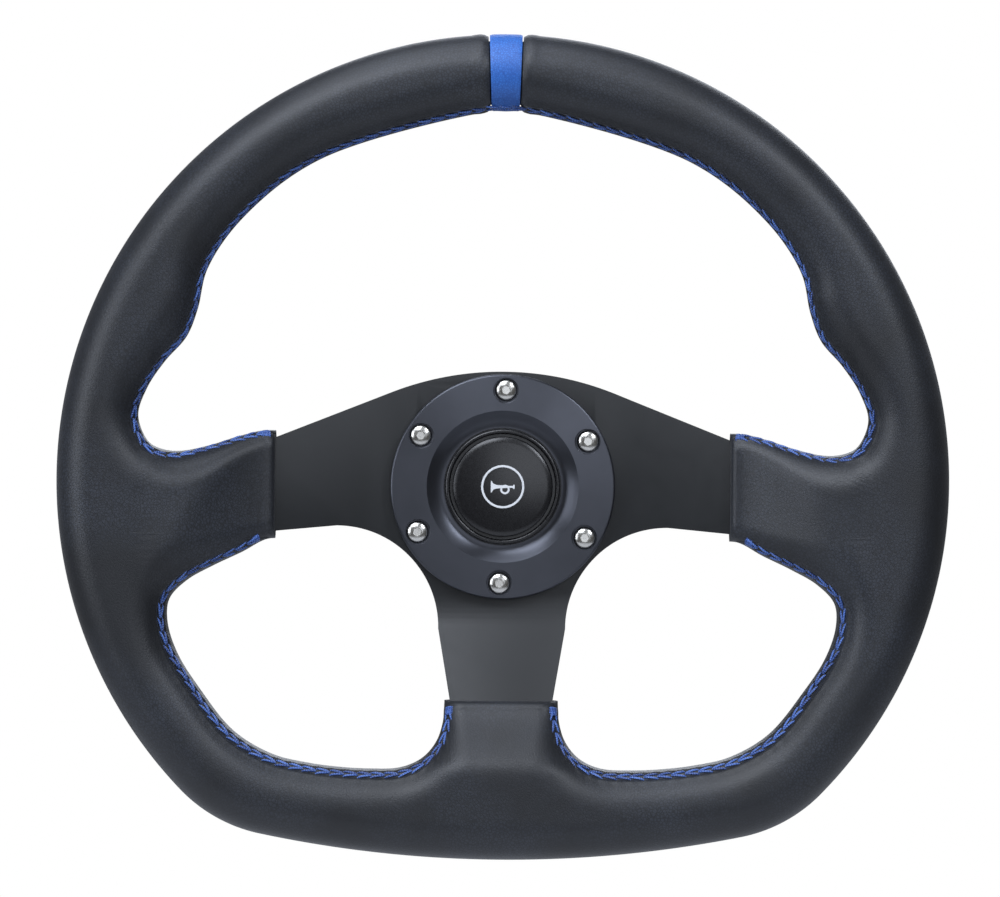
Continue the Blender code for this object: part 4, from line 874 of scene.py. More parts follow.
    def cover(self, name: str, places: Array, run: Array) -> Thing:
        """One cover of hide with its seam pulled in and its edge rolled beside the band, open at its ends."""
        points, near = self.surface(places)
        normal = self.normals(points)
        points = points + normal * self.relief(points, near, places, run)[..., None]
        edge = self.beside_band(points)
        roll = 0.32 * np.exp(-((edge - 3.4) / 1.8) ** 2) - 0.7 * (1 - np.clip(edge / 1.2, 0, 1)) ** 2
        roll = np.where(places[:, None] < 2.5, roll * MM, 0.0)
        return self.grid_mesh(name, points + normal * roll[..., None])

    def beside_band(self, points: Array) -> Array:
        """Distance in millimetres from the band's edge, which widens from the inside to the outside."""
        height = np.clip((points[..., 2] - self.centre_z - (self.radius - 2 * self.half_width))
                         / (2 * self.half_width), 0, 1)
        return (abs(points[..., 0]) - self.stripe_inner - (self.stripe_outer - self.stripe_inner) * height) / MM

    @staticmethod
    def grid_mesh(name: str, points: Array) -> Thing:
        """Lays a grid over these points, closed round the section and open at its ends."""
        stations, around = points.shape[:2]
        pick(None)
        bpy.ops.mesh.primitive_grid_add(x_subdivisions=around, y_subdivisions=stations - 1, size=1.0)
        piece = bpy.context.object
        set_points(piece, np.concatenate([points, points[:, :1]], axis=1))
        clean(piece, 2e-6)
        piece.name = name
        return piece

    def on_side_root(self, x: Array, z: Array) -> Array:
        """Whether these points belong to the padding's end on a side spoke."""
        return (abs(x) < self.side_root_x + 0.012) & (abs(z) < 0.034) & (abs(x) > 0.06)

    def on_lower_root(self, x: Array, z: Array) -> Array:
        """Whether these points belong to the padding's end on the lower spoke."""
        return (z > self.lower_root_z - 0.012) & (abs(x) < 0.032) & (z < -0.055)

    def trim_roots(self, piece: Thing) -> None:
        """Cuts the right cover off at its two roots and rolls its end edges down to the plate."""
        for step in (0.0, 0.35, 0.8, 1.4, 2.2, 3.2):
            self.cut_root(piece, (self.side_root_x + step * MM, 0.0, 0.0), (1.0, 0.0, 0.0), self.on_side_root,
                          step == 0.0)
            self.cut_root(piece, (0.0, 0.0, self.lower_root_z - step * MM), (0.0, 0.0, -1.0), self.on_lower_root,
                          step == 0.0)
        points = get_points(piece)
        x, z = abs(points[:, 0]), points[:, 2]
        middle = self.middle_y(points[:, 0], z)
        away = np.where(self.on_side_root(x, z), (x - self.side_root_x) / MM, 99.0)
        away = np.where(self.on_lower_root(x, z), (self.lower_root_z - z) / MM, away)
        t = np.clip(away / 1.1, 0, 1)
        share = 0.64 + 0.36 * np.sqrt(1 - (1 - t) ** 2)
        lip = 1 + 0.05 * np.exp(-((away - 2.0) / 1.0) ** 2)
        points[:, 1] = middle + (points[:, 1] - middle) * share * lip
        set_points(piece, points)

    @staticmethod
    def cut_root(piece: Thing, point: Triple, normal: Triple, inside: Callable[[Array, Array], Array],
                 clear: bool) -> None:
        """Cuts one root along a plane.

        Args:
            piece: the cover.
            point: a point of the plane.
            normal: the plane's normal, which points into the padding.
            inside: tells which points belong to the root.
            clear: whether the part before the plane goes.
        """
        pick(piece)
        points = get_points(piece)
        chosen = inside(points[:, 0], points[:, 2])
        mesh = piece.data
        for part in (mesh.vertices, mesh.edges):
            part.foreach_set("select", np.zeros(len(part), dtype=bool))
        corners, starts = np.zeros(len(mesh.loops), dtype=np.int32), np.zeros(len(mesh.polygons), dtype=np.int32)
        mesh.loops.foreach_get("vertex_index", corners)
        mesh.polygons.foreach_get("loop_start", starts)
        mesh.polygons.foreach_set("select", np.logical_and.reduceat(chosen[corners], starts))
        bpy.ops.object.mode_set(mode="EDIT")
        bpy.ops.mesh.select_mode(type="FACE")
        bpy.ops.mesh.bisect(plane_co=point, plane_no=normal, clear_inner=clear, threshold=1e-6)
        bpy.ops.object.mode_set(mode="OBJECT")

    def build(self) -> None:
        """Builds the two covers, the band and the three runs of stitching, and dresses them."""
        right = self.cover("leather_cover_right", *self.places(1.0, self.last, self.station_step))
        self.trim_roots(right)
        left = copied(right, "leather_cover_left", Matrix.Scale(-1, 4, (1, 0, 0)))
        for cover, node in ((right, "leather_right"), (left, "leather_left")):
            clean(cover)
            self.finish_hide(cover, BLACK_LEATHER, "leather", node)
        self.build_band()
        self.build_stitching()
        dress_nodes(RIM_FOAM, "rim_foam")
        dress_nodes(FRAME_STEEL, "rim_armature")

    def finish_hide(self, piece: Thing, finish: Finish, slot: str, node: str) -> None:
        """Gives a piece of hide its thickness, its surface and its body, and hides the solid that it replaces."""
        apply_modifier(piece, "SOLIDIFY", thickness=self.leather, offset=-1.0)
        settle(piece, piece.name, 50)
        dress(piece, finish, Body.WHEEL, slot, node)

    def build_band(self) -> None:
        """The blue band that marks the wheel's straight-ahead place, its edges turned into the seams."""
        points, _ = self.surface(self.places(0.0, 0.955, 0.0006)[0])
        points = np.concatenate([points[:0:-1] * (-1, 1, 1), points])
        edge = -self.beside_band(points)
        dip = -0.55 * (1 - np.clip(edge / 1.0, 0, 1)) ** 2 + 0.10 * np.clip(edge / 3, 0, 1)
        band = self.grid_mesh("marker_band", points + self.normals(points) * (dip * MM)[..., None])
        self.finish_hide(band, BLUE_LEATHER, "blue_leather", "centre_stripe")

    def build_stitching(self) -> None:
        """The three runs of baseball stitch, a chevron of two strands at each pair of holes."""
        upper = self.seam_path(0.0, 15.45)
        full = [np.concatenate([part[:0:-1] * (-1, 1, 1), part]) for part in upper]
        self.stitch_run("stitching_upper", full, "stitch_upper")
        lower = self.seam_path(19.6, self.last - 0.6)
        self.stitch_run("stitching_lower_right", lower, "stitch_lower_right")
        self.stitch_run("stitching_lower_left", [part * (-1, 1, 1) for part in lower], "stitch_lower_left")

    def seam_path(self, first: float, last: float) -> list[Array]:
        """The seam on the plain surface, up to where the padding ends on the spokes.

        Args:
            first: the place where it starts.
            last: the place where it ends.

        Returns:
            The seam's points, the surface's normals there and the directions across it.
        """
        places, _ = self.places(first, last, 0.0006)
        points, near = self.surface(places)
        normal = self.normals(points)
        count = self.seam_points
        path, up = [], []
        for k, inset in enumerate(self.seam_inset(places)):
            row = np.maximum.accumulate(near[k, :count]) + np.arange(count) * 1e-12
            at = np.interp(inset, row, np.arange(count))
            low, share = int(at), at - int(at)
            for line, grid in ((path, points), (up, normal)):
                line.append(grid[k, low] * (1 - share) + grid[k, low + 1] * share)
        path, up = np.array(path), np.array(up)
        x, z, margin = abs(path[:, 0]), path[:, 2], 0.0008
        kept = (x > self.side_root_x + margin) | (abs(z) > 0.045)
        kept &= (z > self.lower_root_z - margin) == (z > -0.06)
        kept |= z < self.lower_root_z - margin
        kept &= ~((z > self.lower_root_z - margin) & (x < 0.030) & (z < 0))
        path, up = path[kept], up[kept]
        along = np.gradient(path, axis=0)
        along /= np.linalg.norm(along, axis=1, keepdims=True)
        up -= along * (up * along).sum(1, keepdims=True)
        up /= np.linalg.norm(up, axis=1, keepdims=True)
        return [path, up, np.cross(along, up)]

    def stitch_run(self, name: str, seam: list[Array], node: str) -> None:
        """Lays strands along a seam and joins them into one piece.

        Args:
            name: the piece's name.
            seam: its points, normals and directions across.
            node: the solid that the run replaces.
        """
        run = self.run_of(seam[0])
        count = round(run[-1] / self.pitch)
        pitch = run[-1] / count
        rng = np.random.default_rng(7)
        shares = np.linspace(0, 1, 7)
        lines = []
        for k in range(count):
            for side in (-1.0, 1.0):
                wide = 1.6 + rng.uniform(-0.12, 0.12)
                begin = k * pitch + rng.uniform(-0.15, 0.15) * MM
                off = side * (wide * (1 - shares) + 0.28 * shares)
                lift = 0.42 * np.sin(math.pi * np.clip(shares * 1.02, 0, 1)) ** 0.6 - 0.16
                lines.append((begin + shares * pitch * 1.02, off, lift, rng.uniform(0, 1)))
        for end, way in ((0.0, 1.0), (run[-1], -1.0)):
            for turn in range(5):
                at = end + way * (0.3 + 0.62 * turn + np.zeros(7)) * MM
                off = np.linspace(-1.9, 1.9, 7) * (1 - 0.06 * turn) + rng.uniform(-0.15, 0.15)
                lift = 0.85 * np.sqrt(np.clip(1 - (np.linspace(-1, 1, 7)) ** 2, 0, 1)) - 0.25
                lines.append((at, off, lift, rng.uniform(0, 1)))
        strands = []
        for at, off, lift, tone in lines:
            at = np.clip(at, 0, run[-1])
            base, rise, aside = [np.stack([np.interp(at, run, part[:, axis]) for axis in range(3)], axis=1)
                                 for part in seam]
            drop = (off * MM) ** 2 / 0.022
            line = base + aside * (off * MM)[:, None] + rise * (lift * MM - drop)[:, None]
            strands.append((line, rise, tone))
        piece = self.strand_mesh(name, strands)
        settle(piece, name, 60)
        dress(piece, BLUE_THREAD, Body.WHEEL, "thread", node)

    def strand_mesh(self, name: str, strands: list[tuple]) -> Thing:
        """One mesh of short round strands with closed, narrowed ends, and the map of each strand's run.

        Args:
            name: the mesh's name.
            strands: each strand's centre line, its upward directions and its own tone.

        Returns:
            The object.
        """
        sides, points, faces, marks = self.strand_sides, [], [], []
        girth = self.strand_radius * np.array((0.55, 0.9, 1.0, 1.0, 1.0, 0.9, 0.55))
        steps = len(girth)
        for line, rise, tone in strands:
            way = np.gradient(line, axis=0)
            way /= np.maximum(np.linalg.norm(way, axis=1, keepdims=True), 1e-12)
            side = np.cross(way, rise)
            side /= np.maximum(np.linalg.norm(side, axis=1, keepdims=True), 1e-12)
            top = np.cross(side, way)
            length = self.run_of(line)
            first = len(points)
            for k in range(steps):
                for j in range(sides):
                    a = math.tau * j / sides
                    points.append(line[k] + (side[k] * math.cos(a) + top[k] * math.sin(a)) * girth[k])
                    marks.append((length[k], a, tone))
            for k in range(steps - 1):
                a, b = first + k * sides, first + (k + 1) * sides
                faces += [(a + j, a + (j + 1) % sides, b + (j + 1) % sides, b + j) for j in range(sides)]
            faces.append(tuple(first + j for j in reversed(range(sides))))
            faces.append(tuple(first + (steps - 1) * sides + j for j in range(sides)))
        mesh = bpy.data.meshes.new(name)
        mesh.from_pydata([tuple(p) for p in points], [], faces)
        attribute = mesh.attributes.new("strand", "FLOAT_VECTOR", "POINT")
        attribute.data.foreach_set("vector", np.array(marks, dtype=np.float32).ravel())
        piece = bpy.data.objects.new(name, mesh)
        bpy.context.scene.collection.objects.link(piece)
        edit(piece, face_out)
        return piece


# ---------------------------------------------------------------- trim ring and screws


@dataclass
class TrimRing:
    """The turned ring round the horn push, held by six socket screws in counterbores."""

    hole_radius: float = 0.0213
    radius: float = 0.0407
    back_y: float = -0.0666
    front_y: float = -0.0718
    cove_width: float = 0.0062
    cove_depth: float = 0.0034
    face_slope: float = 0.05
    edge_round: float = 0.0009
    counterbore: float = 0.00445
    counterbore_depth: float = 0.0031
    head_radius: float = 0.0040
    head_height: float = 0.0024
    socket_radius: float = 0.00160
    shank_radius: float = 0.0025
    clearance: float = 0.0003
    tip_y: float = -0.0560

    def build(self) -> None:
        """Turns the ring, bores it for the screws, then builds them."""
        cove_edge = self.hole_radius + self.cove_width
        cove = [(self.hole_radius + self.cove_width * (1 - t),
                 self.front_y + self.cove_depth * math.sin(t * math.pi / 2)) for t in np.linspace(0, 1, 20)]
        outer_face = self.front_y + self.face_slope * (self.radius - cove_edge)
        r = self.edge_round
        rounded = [(self.radius - r * (1 - math.sin(a)), outer_face + r * (1 - math.cos(a)))
                   for a in np.linspace(math.pi / 2, 0, 9)]
        profile = [(self.hole_radius, self.back_y), (self.radius - 0.3 * MM, self.back_y),
                   (self.radius, self.back_y - 0.3 * MM), *rounded, *cove]
        ring = lathe("trim_ring_turned", profile, 160)
        floor = self.front_y + self.counterbore_depth
        face = self.front_y + self.face_slope * (PATTERN_RADIUS - cove_edge)
        hole = self.shank_radius + self.clearance
        bore = [(0.0, face - MM), (self.counterbore + 1.25 * MM, face - MM), (self.counterbore + 0.25 * MM, face),
                (self.counterbore, face + 0.25 * MM), (self.counterbore, floor), (hole, floor),
                (hole, self.back_y + MM), (0.0, self.back_y + MM)]
        combine(ring, [lathe("bore", bore, 48, place) for place in screw_places()])
        settle(ring, "trim_ring_turned", 28)
        dress(ring, BLACK_TURNED, Body.WHEEL, "black_anodised", "trim_ring")
        self.build_screws(floor - self.clearance)

    def build_screws(self, head_back: float) -> None:
        """The six button-head screws, each turned a little differently.

        Args:
            head_back: the y of the flat underside of the heads.
        """
        front = head_back - self.head_height
        edge, well = 0.7 * MM, front + 0.02 * MM
        dome = [(self.head_radius * math.sin(a), head_back - edge - (self.head_height - edge) * math.cos(a))
                for a in np.linspace(math.pi / 2, 0.33, 12)]
        profile = [(0.0, self.tip_y), (self.shank_radius - 0.4 * MM, self.tip_y),
                   (self.shank_radius, self.tip_y - 0.4 * MM), (self.shank_radius, head_back),
                   (self.head_radius - 0.15 * MM, head_back), (self.head_radius, head_back - 0.15 * MM), *dome,
                   (self.socket_radius * 0.75, well), (0.0, well)]
        screw = lathe("screw", profile, 48)
        hexagon = extruded("socket", circle((0.0, 0.0), self.socket_radius, 6), front - MM, front + 1.5 * MM)
        flare = lathe("flare", [(0.0, front - 0.5 * MM), (self.socket_radius + 0.75 * MM, front - 0.5 * MM),
                                (self.socket_radius - 0.25 * MM, front + 0.5 * MM), (0.0, front + 0.5 * MM)], 36)
        combine(screw, [hexagon, flare])
        settle(screw, "socket_screw")
        for k, (x, z) in enumerate(screw_places()):
            turn = Matrix.Rotation(math.radians(17 + 41 * k), 4, "Y")
            copy = copied(screw, f"socket_screw_{k + 1}", Matrix.Translation((x, 0.0, z)) @ turn)
            dress(copy, SCREW_STEEL, Body.WHEEL, "screw_steel", f"ring_screw_{k + 1}")
        bpy.data.objects.remove(screw, do_unlink=True)


# ---------------------------------------------------------------- horn push


@dataclass
class Spring:
    """A compression spring of round wire with closed end coils, drawn between two bodies.

    Args:
        name: the piece's name.
        node: the solid that it replaces.
        radius: from the spring's axis to the wire's middle.
        wire: the wire's radius.
        low: the y of the end nearer the driver.
        high: the y of the other end.
        turns: how many coils it has.
        place: x and z of its axis.
    """

    name: str
    node: str
    radius: float
    wire: float
    low: float
    high: float
    turns: float
    place: Pair = (0.0, 0.0)

    def build(self, body_low: Body, body_high: Body) -> None:
        """Winds the coil between its two ends.

        Args:
            body_low: the body at the driver's end.
            body_high: the body at the other end.
        """
        steps, sides = int(self.turns * 40), 10
        pick(None)
        bpy.ops.mesh.primitive_grid_add(x_subdivisions=sides, y_subdivisions=steps, size=1.0)
        coil = bpy.context.object
        low, high = self.low + self.wire, self.high - self.wire
        rows = []
        for k in range(steps + 1):
            turn = self.turns * k / steps
            y = low + (high - low) * np.clip((turn - 0.6) / (self.turns - 1.2), 0, 1)
            out = np.array((math.cos(math.tau * turn), 0.0, math.sin(math.tau * turn)))
            centre = out * self.radius + (self.place[0], y, self.place[1])
            girth = self.wire * (0.999 if 0 < k < steps else 0.85)
            for j in range(sides + 1):
                b = math.tau * (j % sides) / sides
                rows.append(centre + out * girth * math.cos(b) + np.array((0, girth * math.sin(b), 0)))
        set_points(coil, rows)

        def close_ends() -> None:
            """Fills the two open ends of the wire."""
            bpy.ops.mesh.select_all(action="DESELECT")
            bpy.ops.mesh.select_non_manifold()
            bpy.ops.mesh.fill()

        edit(coil, lambda: bpy.ops.mesh.remove_doubles(threshold=1e-6), close_ends, face_out)
        settle(coil, self.name, 50)
        coil.data.materials.append(SPRING_STEEL.make())
        ends = [(body_high, (0.0, self.high, 0.0)), (body_low, (0.0, self.low, 0.0))]
        if body_high is not Body.WHEEL:
            ends.reverse()
        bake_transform(coil)
        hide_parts(self.node)


@dataclass
class HornPush:
    """The horn's cap in its housing, with a plain ring and a generic horn sign printed on the cap."""

    cap_radius: float = 0.0181
    cap_edge: float = 0.0009
    rim_y: float = -0.0730
    front_y: float = -0.0743
    flange_front: float = -0.0692
    flange_back: float = -0.0677
    flange_radius: float = 0.0196
    inner_radius: float = 0.0161
    crown_back: float = -0.0713
    stem_radius: float = 0.0045
    stem_back: float = -0.0677
    emblem_inner: float = 0.0070
    emblem_outer: float = 0.0078
    pin_z: float = 0.0158

    def build(self) -> None:
        """Builds the housing, the cap and its print, and the two springs."""
        self.build_housing()
        self.build_cap()
        self.build_sign()
        Spring("horn_return_spring", "horn_spring", 0.0062, 0.00045, -0.0665, -0.0610, 3.5).build(
            Body.BUTTON, Body.WHEEL)
        Spring("pin_return_spring", "pin_spring", 0.0019, 0.0003, -0.0578, -0.0518, 4.5, (0.0, self.pin_z)).build(
            Body.WHEEL, Body.PIN)
        dress_nodes(BRASS, "moving_contact", "live_contact", "earth_contact", "contact_pin", "contact_ring")
        dress_nodes(PHENOLIC, "contact_board", "pin_bush")
        dress_nodes(NYLON, "contact_insulator")

    def build_housing(self) -> None:
        """The cup that holds the cap, with the bright round lip that shows between the ring and the cap."""
        lip = [(0.0200 + 0.0009 * math.cos(a), -0.0705 - 0.0009 * math.sin(a)) for a in np.linspace(0, math.pi, 13)]
        profile = [(0.0209, -0.0663), *lip, (0.0191, -0.0695), (0.0200, -0.0695), (0.0200, -0.0587),
                   (0.0192, -0.0587), (0.0192, -0.0572), (0.0216, -0.0572), (0.0216, -0.0623), (0.0260, -0.0623),
                   (0.0260, -0.0663)]
        housing = lathe("horn_cup", profile)
        settle(housing, "horn_cup", 35)
        dress(housing, GLOSS_ABS, Body.WHEEL, "gloss_black", "horn_housing")

    def crown(self, radius: float) -> float:
        """The y of the cap's domed face at this radius."""
        edge = self.cap_radius - self.cap_edge
        return self.rim_y + (self.front_y - self.rim_y) * (1 - (radius / edge) ** 2)

    def build_cap(self) -> None:
        """The domed cap with its rounded edge, flange and stem."""
        edge = self.cap_radius - self.cap_edge
        dome = [(r, self.crown(r)) for r in np.linspace(0.0, edge - 0.1 * MM, 14)]
        rim = [(self.cap_radius - self.cap_edge * (1 - math.sin(a)), self.rim_y + self.cap_edge * (1.1 - math.cos(a)))
               for a in np.linspace(0.1, math.pi / 2, 8)]
        profile = [*dome, *rim, (self.cap_radius, self.flange_front), (self.flange_radius, self.flange_front),
                   (self.flange_radius, self.flange_back), (self.inner_radius, self.flange_back),
                   (self.inner_radius, self.crown_back), (self.stem_radius, self.crown_back),
                   (self.stem_radius, self.stem_back), (0.0, self.stem_back)]
        cap = lathe("horn_cap_domed", profile)
        settle(cap, "horn_cap_domed", 24)
        dress(cap, GLOSS_ABS, Body.BUTTON, "gloss_black", "horn_cap")

    def build_sign(self) -> None:
        """The printed ring, and inside it the generic sign of a post horn."""
        front, back = self.front_y - 0.55 * MM, self.crown(self.emblem_outer) + 0.1 * MM
        profile = eased([(self.emblem_inner, back), (self.emblem_outer, back), (self.emblem_outer, front),
                         (self.emblem_inner, front)], 0.12 * MM)
        ring = lathe("cap_ring", profile)
        settle(ring, "cap_ring")
        dress(ring, SILVER_PRINT, Body.BUTTON, "silver_anodised", "horn_emblem")
        half = [(4.3, 0.75), (3.8, 0.75), (3.6, 0.34), (2.4, 0.34), (-0.6, 0.55), (-2.2, 0.62), (-3.4, 1.1),
                (-4.0, 2.1), (-4.3, 2.1)]
        horn = [(x * MM, z * MM) for x, z in half] + [(x * MM, -z * MM) for x, z in reversed(half)]
        depth = self.front_y + 0.25 * MM
        sign = extruded("bell", horn, self.front_y - 0.30 * MM, depth)
        middle = (0.0008, -0.0010)
        coil = extruded("coil", circle(middle, 0.0017, 28), self.front_y - 0.24 * MM, depth)
        combine(coil, [extruded("coil_hole", circle(middle, 0.0010, 28), self.front_y - MM, self.front_y + MM)])
        pick(sign)
        coil.select_set(True)
        bpy.ops.object.join()
        settle(sign, "cap_horn_sign")
        dress(sign, SILVER_PRINT, Body.BUTTON, "silver_anodised")


# ---------------------------------------------------------------- quick release


@dataclass
class QuickRelease:
    """The ball-lock quick release: the column's base, the wheel's hub and the sliding collar."""

    flange_radius: float = 0.041
    boss_radius: float = 0.020
    bore_radius: float = 0.0125
    nose_y: float = -0.042
    ball_y: float = -0.028
    ball_radius: float = 0.004
    ball_travel: float = 0.0023
    locked_radius: float = 0.0221
    spline_width: float = 0.006
    spline_height: float = 0.0016
    collar_radius: float = 0.0350
    collar_front: float = -0.054
    collar_rear: float = -0.020
    collar_stroke: float = 0.006
    flutes: int = 12
    pin_z: float = 0.0158

    def build(self) -> None:
        """Builds the base, the hub, the snap ring, the collar and its spring."""
        self.build_base()
        self.build_hub()
        self.build_snap_ring()
        self.build_collar()
        Spring("collar_return_spring", "collar_spring", 0.028, 0.0009, -0.0547, -0.0443, 4.0).build(
            Body.WHEEL, Body.COLLAR)
        dress_nodes(BALL_STEEL, *[f"lock_ball_{k + 1}" for k in range(6)])

    def splines(self, grow: float, low: float, high: float) -> list[Thing]:
        """Six straight splines as blocks along the column.

        Args:
            grow: how much wider and taller than the base's own splines.
            low: the end nearer the driver.
            high: the end nearer the column.

        Returns:
            The blocks.
        """
        out = []
        chamfer = 0.25 * MM
        trimmed = 1 - chamfer / (self.spline_width / 2)
        for angle in np.arange(6) * math.tau / 6:
            along = np.array((math.cos(angle), math.sin(angle)))
            aside = np.array((-along[1], along[0])) * (self.spline_width / 2 + grow)
            tip, root = self.boss_radius + self.spline_height + grow, self.boss_radius - self.spline_height
            half = [(root, 1.0), (tip - chamfer, 1.0), (tip, trimmed)]
            corners = [along * r - aside * w for r, w in half] + [along * r + aside * w for r, w in reversed(half)]
            out.append(extruded("spline", [tuple(c) for c in corners], low, high))
        return out

    def build_base(self) -> None:
        """The base on the column: flange, boss, ball groove, splines and counterbored screw holes."""
        groove = self.ball_radius + 0.4 * MM
        half = math.acos((self.locked_radius - self.boss_radius) / groove)
        ball_groove = [(self.locked_radius - groove * math.cos(a), self.ball_y + groove * math.sin(a))
                       for a in np.linspace(half, -half, 15)]
        head = eased([(self.bore_radius, 0.0), (self.flange_radius, 0.0), (self.flange_radius, -0.007),
                      (self.flange_radius - 1.0 * MM, -0.008), (self.boss_radius, -0.008)], 0.5 * MM)
        profile = [*head[2:-1], (self.boss_radius, -0.008), *ball_groove, (self.boss_radius, self.nose_y + 1.5 * MM),
                   (self.boss_radius - MM, self.nose_y), (self.bore_radius + 0.4 * MM, self.nose_y),
                   (self.bore_radius, self.nose_y + 0.4 * MM), (self.bore_radius, -0.4 * MM),
                   (self.bore_radius + 0.4 * MM, 0.0)]
        base = lathe("column_boss", profile, 144)
        combine(base, self.splines(0.0, -0.020, -0.004), "UNION")
        bore = [(0.0, -0.012), (0.0055, -0.012), (0.0055, -0.0083), (0.0050, -0.0077), (0.0050, -0.0027),
                (0.0028, -0.0027), (0.0028, -0.0003), (0.0034, 0.0004), (0.0034, 0.001), (0.0, 0.001)]
        combine(base, [lathe("bore", bore, 40, place) for place in screw_places()])
        settle(base, "column_boss", 28)
        dress(base, SILVER_TURNED, Body.BASE, "silver_anodised", "base_hub")

    def build_hub(self) -> None:
        """The wheel's hub: a sleeve with six ball holes and spline grooves, and the screwed flange."""
        profile = eased([(0.0203, -0.0093), (0.0250, -0.0093), (0.0250, -0.0119), (0.0238, -0.0119),
                         (0.0238, -0.0140), (0.0250, -0.0140), (0.0250, -0.0550), (0.0400, -0.0550),
                         (0.0410, -0.0560), (0.0410, -0.0620), (0.0220, -0.0620), (0.0220, -0.0490),
                         (0.0060, -0.0490), (0.0060, -0.0460), (0.0203, -0.0460)], 0.3 * MM)
        hub = lathe("wheel_hub", profile, 144)
        cutters = self.splines(0.3 * MM, -0.0206, 0.0)
        bore = [(0.0, -0.063), (0.0028, -0.063), (0.0028, -0.0553), (0.0034, -0.0547), (0.0034, -0.054),
                (0.0, -0.054)]
        cutters += [lathe("bore", bore, 32, place) for place in screw_places()]
        cutters.append(extruded("pin", circle((0.0, self.pin_z), 0.0034, 32), -0.0495, -0.0455))
        cutters += [self.ball_hole(math.tau * (k + 0.5) / 6) for k in range(6)]
        combine(hub, cutters)
        settle(hub, "wheel_hub", 28)
        dress(hub, BLACK_TURNED, Body.WHEEL, "black_anodised", "quick_release_hub")

    def ball_hole(self, angle: float) -> Thing:
        """A round cutter that points out from the axis at this angle, through the ball's place."""
        pick(None)
        out = Vector((math.cos(angle), 0.0, math.sin(angle)))
        turn = Vector((0, 0, 1)).rotation_difference(out).to_euler()
        place = out * self.locked_radius + Vector((0, self.ball_y, 0))
        bpy.ops.mesh.primitive_cylinder_add(vertices=48, radius=self.ball_radius + 0.3 * MM, depth=0.016,
                                            location=place, rotation=turn)
        cutter = bpy.context.object
        bpy.ops.object.transform_apply(location=True, rotation=True, scale=True)
        return cutter

    def build_snap_ring(self) -> None:
        """The open ring of round-edged spring steel that stops the collar."""
        profile = eased([(0.0241, -0.0137), (0.0288, -0.0137), (0.0288, -0.0122), (0.0241, -0.0122)], 0.25 * MM)
        ring = lathe("snap_ring_open", profile)
        combine(ring, [extruded("opening", [(-0.004, -0.035), (0.004, -0.035), (0.004, -0.019), (-0.004, -0.019)],
                                -0.0142, -0.0117)])
        settle(ring, "snap_ring_open")
        dress(ring, SPRING_STEEL, Body.WHEEL, "spring_steel", "snap_ring")

    def build_collar(self) -> None:
        """The sliding collar with its grip flutes, ball ramp and spring bore, held back."""
        front, rear, land, pocket, spring_bore = self.collar_front, self.collar_rear, 0.0254, 0.0290, 0.0301
        cone_start = self.ball_y - (pocket - land) / (self.ball_travel / self.collar_stroke)
        profile = eased([(land, rear), (self.collar_radius - 1.5 * MM, rear),
                         (self.collar_radius, rear - 1.5 * MM), (self.collar_radius, front + 6 * MM),
                         (self.collar_radius - 1.5 * MM, front), (spring_bore, front),
                         (spring_bore, front + 10 * MM), (land, front + 10 * MM), (land, cone_start),
                         (pocket, self.ball_y), (pocket, rear - 3 * MM), (land, rear - 3 * MM)], 0.35 * MM)
        collar = lathe("grip_collar", profile, 180)
        low, high = front + 12 * MM, rear - 4 * MM
        flute = [(0.0, low), (1.6 * MM, low + 0.25 * MM), (2.7 * MM, low + 1.3 * MM), (3.0 * MM, low + 3 * MM),
                 (3.0 * MM, high - 3 * MM), (2.7 * MM, high - 1.3 * MM), (1.6 * MM, high - 0.25 * MM), (0.0, high)]
        places = circle((0.0, 0.0), self.collar_radius + 1.8 * MM, self.flutes)
        combine(collar, [lathe("flute", flute, 36, place) for place in places])
        settle(collar, "grip_collar", 28)
        dress(collar, BLACK_TURNED, Body.COLLAR, "black_anodised", "release_collar")


# ---------------------------------------------------------------- studio


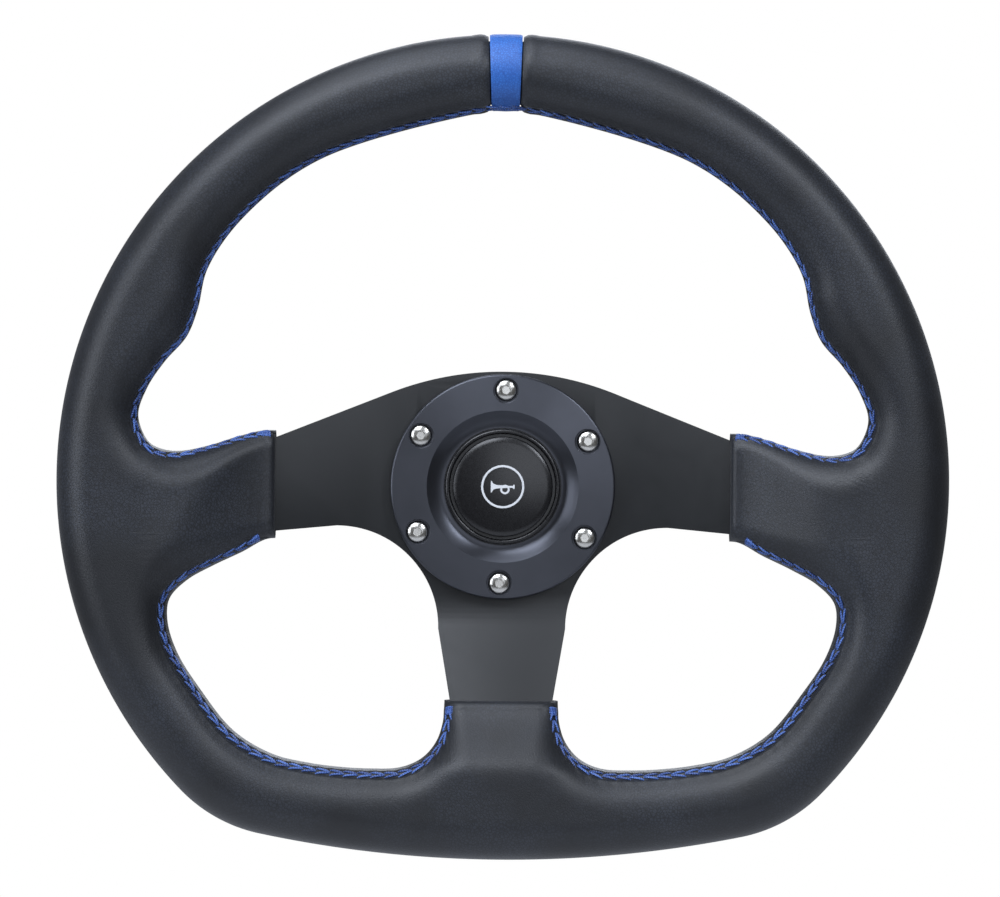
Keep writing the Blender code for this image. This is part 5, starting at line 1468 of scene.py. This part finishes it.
@dataclass
class Studio:
    """The plain studio: a pale floor, large soft lights and the camera straight in front."""

    distance: float = 1.500
    rim_y: float = -0.0843
    across: float = 0.3586
    camera_x: float = -0.0011
    camera_z: float = 0.0138
    roll: float = -0.45
    floor_z: float = -0.45
    floor_radius: float = 0.90
    fill: float = 0.09

    def build(self) -> None:
        """Makes the camera, the floor, the lights and the sky."""
        self.build_camera()
        self.build_floor()
        hub, ring = (0.0, -0.05, 0.0), (0.0, -0.07, 0.0)
        self.area("key_softbox", (-0.85, -1.75, 1.85), hub, 1.6, 1.2, 50.0)
        self.area("left_softbox", (-1.9, -1.3, 0.35), hub, 1.1, 1.3, 20.0)
        self.area("front_softbox", (0.45, -2.6, 0.35), hub, 1.3, 1.1, 8.0)
        self.area("side_strip", (1.15, -1.6, 1.15), ring, 0.35, 0.7, 17.0)
        self.area("top_softbox", (-0.2, -0.35, 1.7), hub, 1.5, 1.0, 13.0)
        self.area("rear_softbox", (0.3, 1.9, 0.9), hub, 1.5, 1.2, 16.0)
        self.build_sky()

    def build_camera(self) -> None:
        """The camera level with the wheel, square to its rim, and turned by the slightest roll."""
        data = bpy.data.cameras.new("camera")
        data.sensor_width = 36.0
        data.lens = 36.0 * self.distance / self.across
        camera = bpy.data.objects.new("camera", data)
        camera.location = (self.camera_x, self.rim_y - self.distance, self.camera_z)
        camera.rotation_euler = (math.radians(90), math.radians(self.roll), 0.0)
        bpy.context.scene.collection.objects.link(camera)
        bpy.context.scene.camera = camera

    def build_floor(self) -> None:
        """A round pale floor below the wheel."""
        pick(None)
        bpy.ops.mesh.primitive_circle_add(vertices=96, radius=self.floor_radius, fill_type="NGON",
                                          location=(0.0, 0.0, self.floor_z))
        floor = bpy.context.object
        settle(floor, "studio_floor", 32)
        floor.data.materials.append(PALE_FLOOR.make())

    @staticmethod
    def area(name: str, place: Triple, target: Triple, width: float, height: float, power: float) -> None:
        """A rectangular soft light.

        Args:
            name: the light's name.
            place: where it stands.
            target: where it points.
            width: its long side.
            height: its short side.
            power: its power in watts.
        """
        data = bpy.data.lights.new(name, "AREA")
        data.shape, data.size, data.size_y, data.energy = "RECTANGLE", width, height, power
        data.color = linear("#eef4ff")[:3]
        light = bpy.data.objects.new(name, data)
        light.location = place
        light.rotation_euler = (Vector(target) - Vector(place)).to_track_quat("-Z", "Y").to_euler()
        bpy.context.scene.collection.objects.link(light)

    def build_sky(self) -> None:
        """A white backdrop that gives only a dim fill light."""
        world = bpy.data.worlds.new("studio")
        bpy.context.scene.world = world
        world.use_nodes = True
        tree = world.node_tree
        background = tree.nodes["Background"].inputs
        background["Color"].default_value = linear("#ffffff")
        seen = add(tree, "LightPath")["Is Camera Ray"]
        strength = add(tree, "MapRange", {"To Min": self.fill, "To Max": 1.0}, {"Value": seen})[0]
        tree.links.new(strength, background["Strength"])


def main() -> None:
    """Builds the studio and every sub-assembly, in order."""
    logging.basicConfig(level=logging.INFO, format="%(message)s")
    for part in (Studio(), SpokePlate(), TrimRing(), HornPush(), QuickRelease(), PaddedRim()):
        part.build()
        LOG.info("built: %s", type(part).__name__)
    bpy.context.scene.view_settings.view_transform = "Standard"


if __name__ == "__main__":
    main()
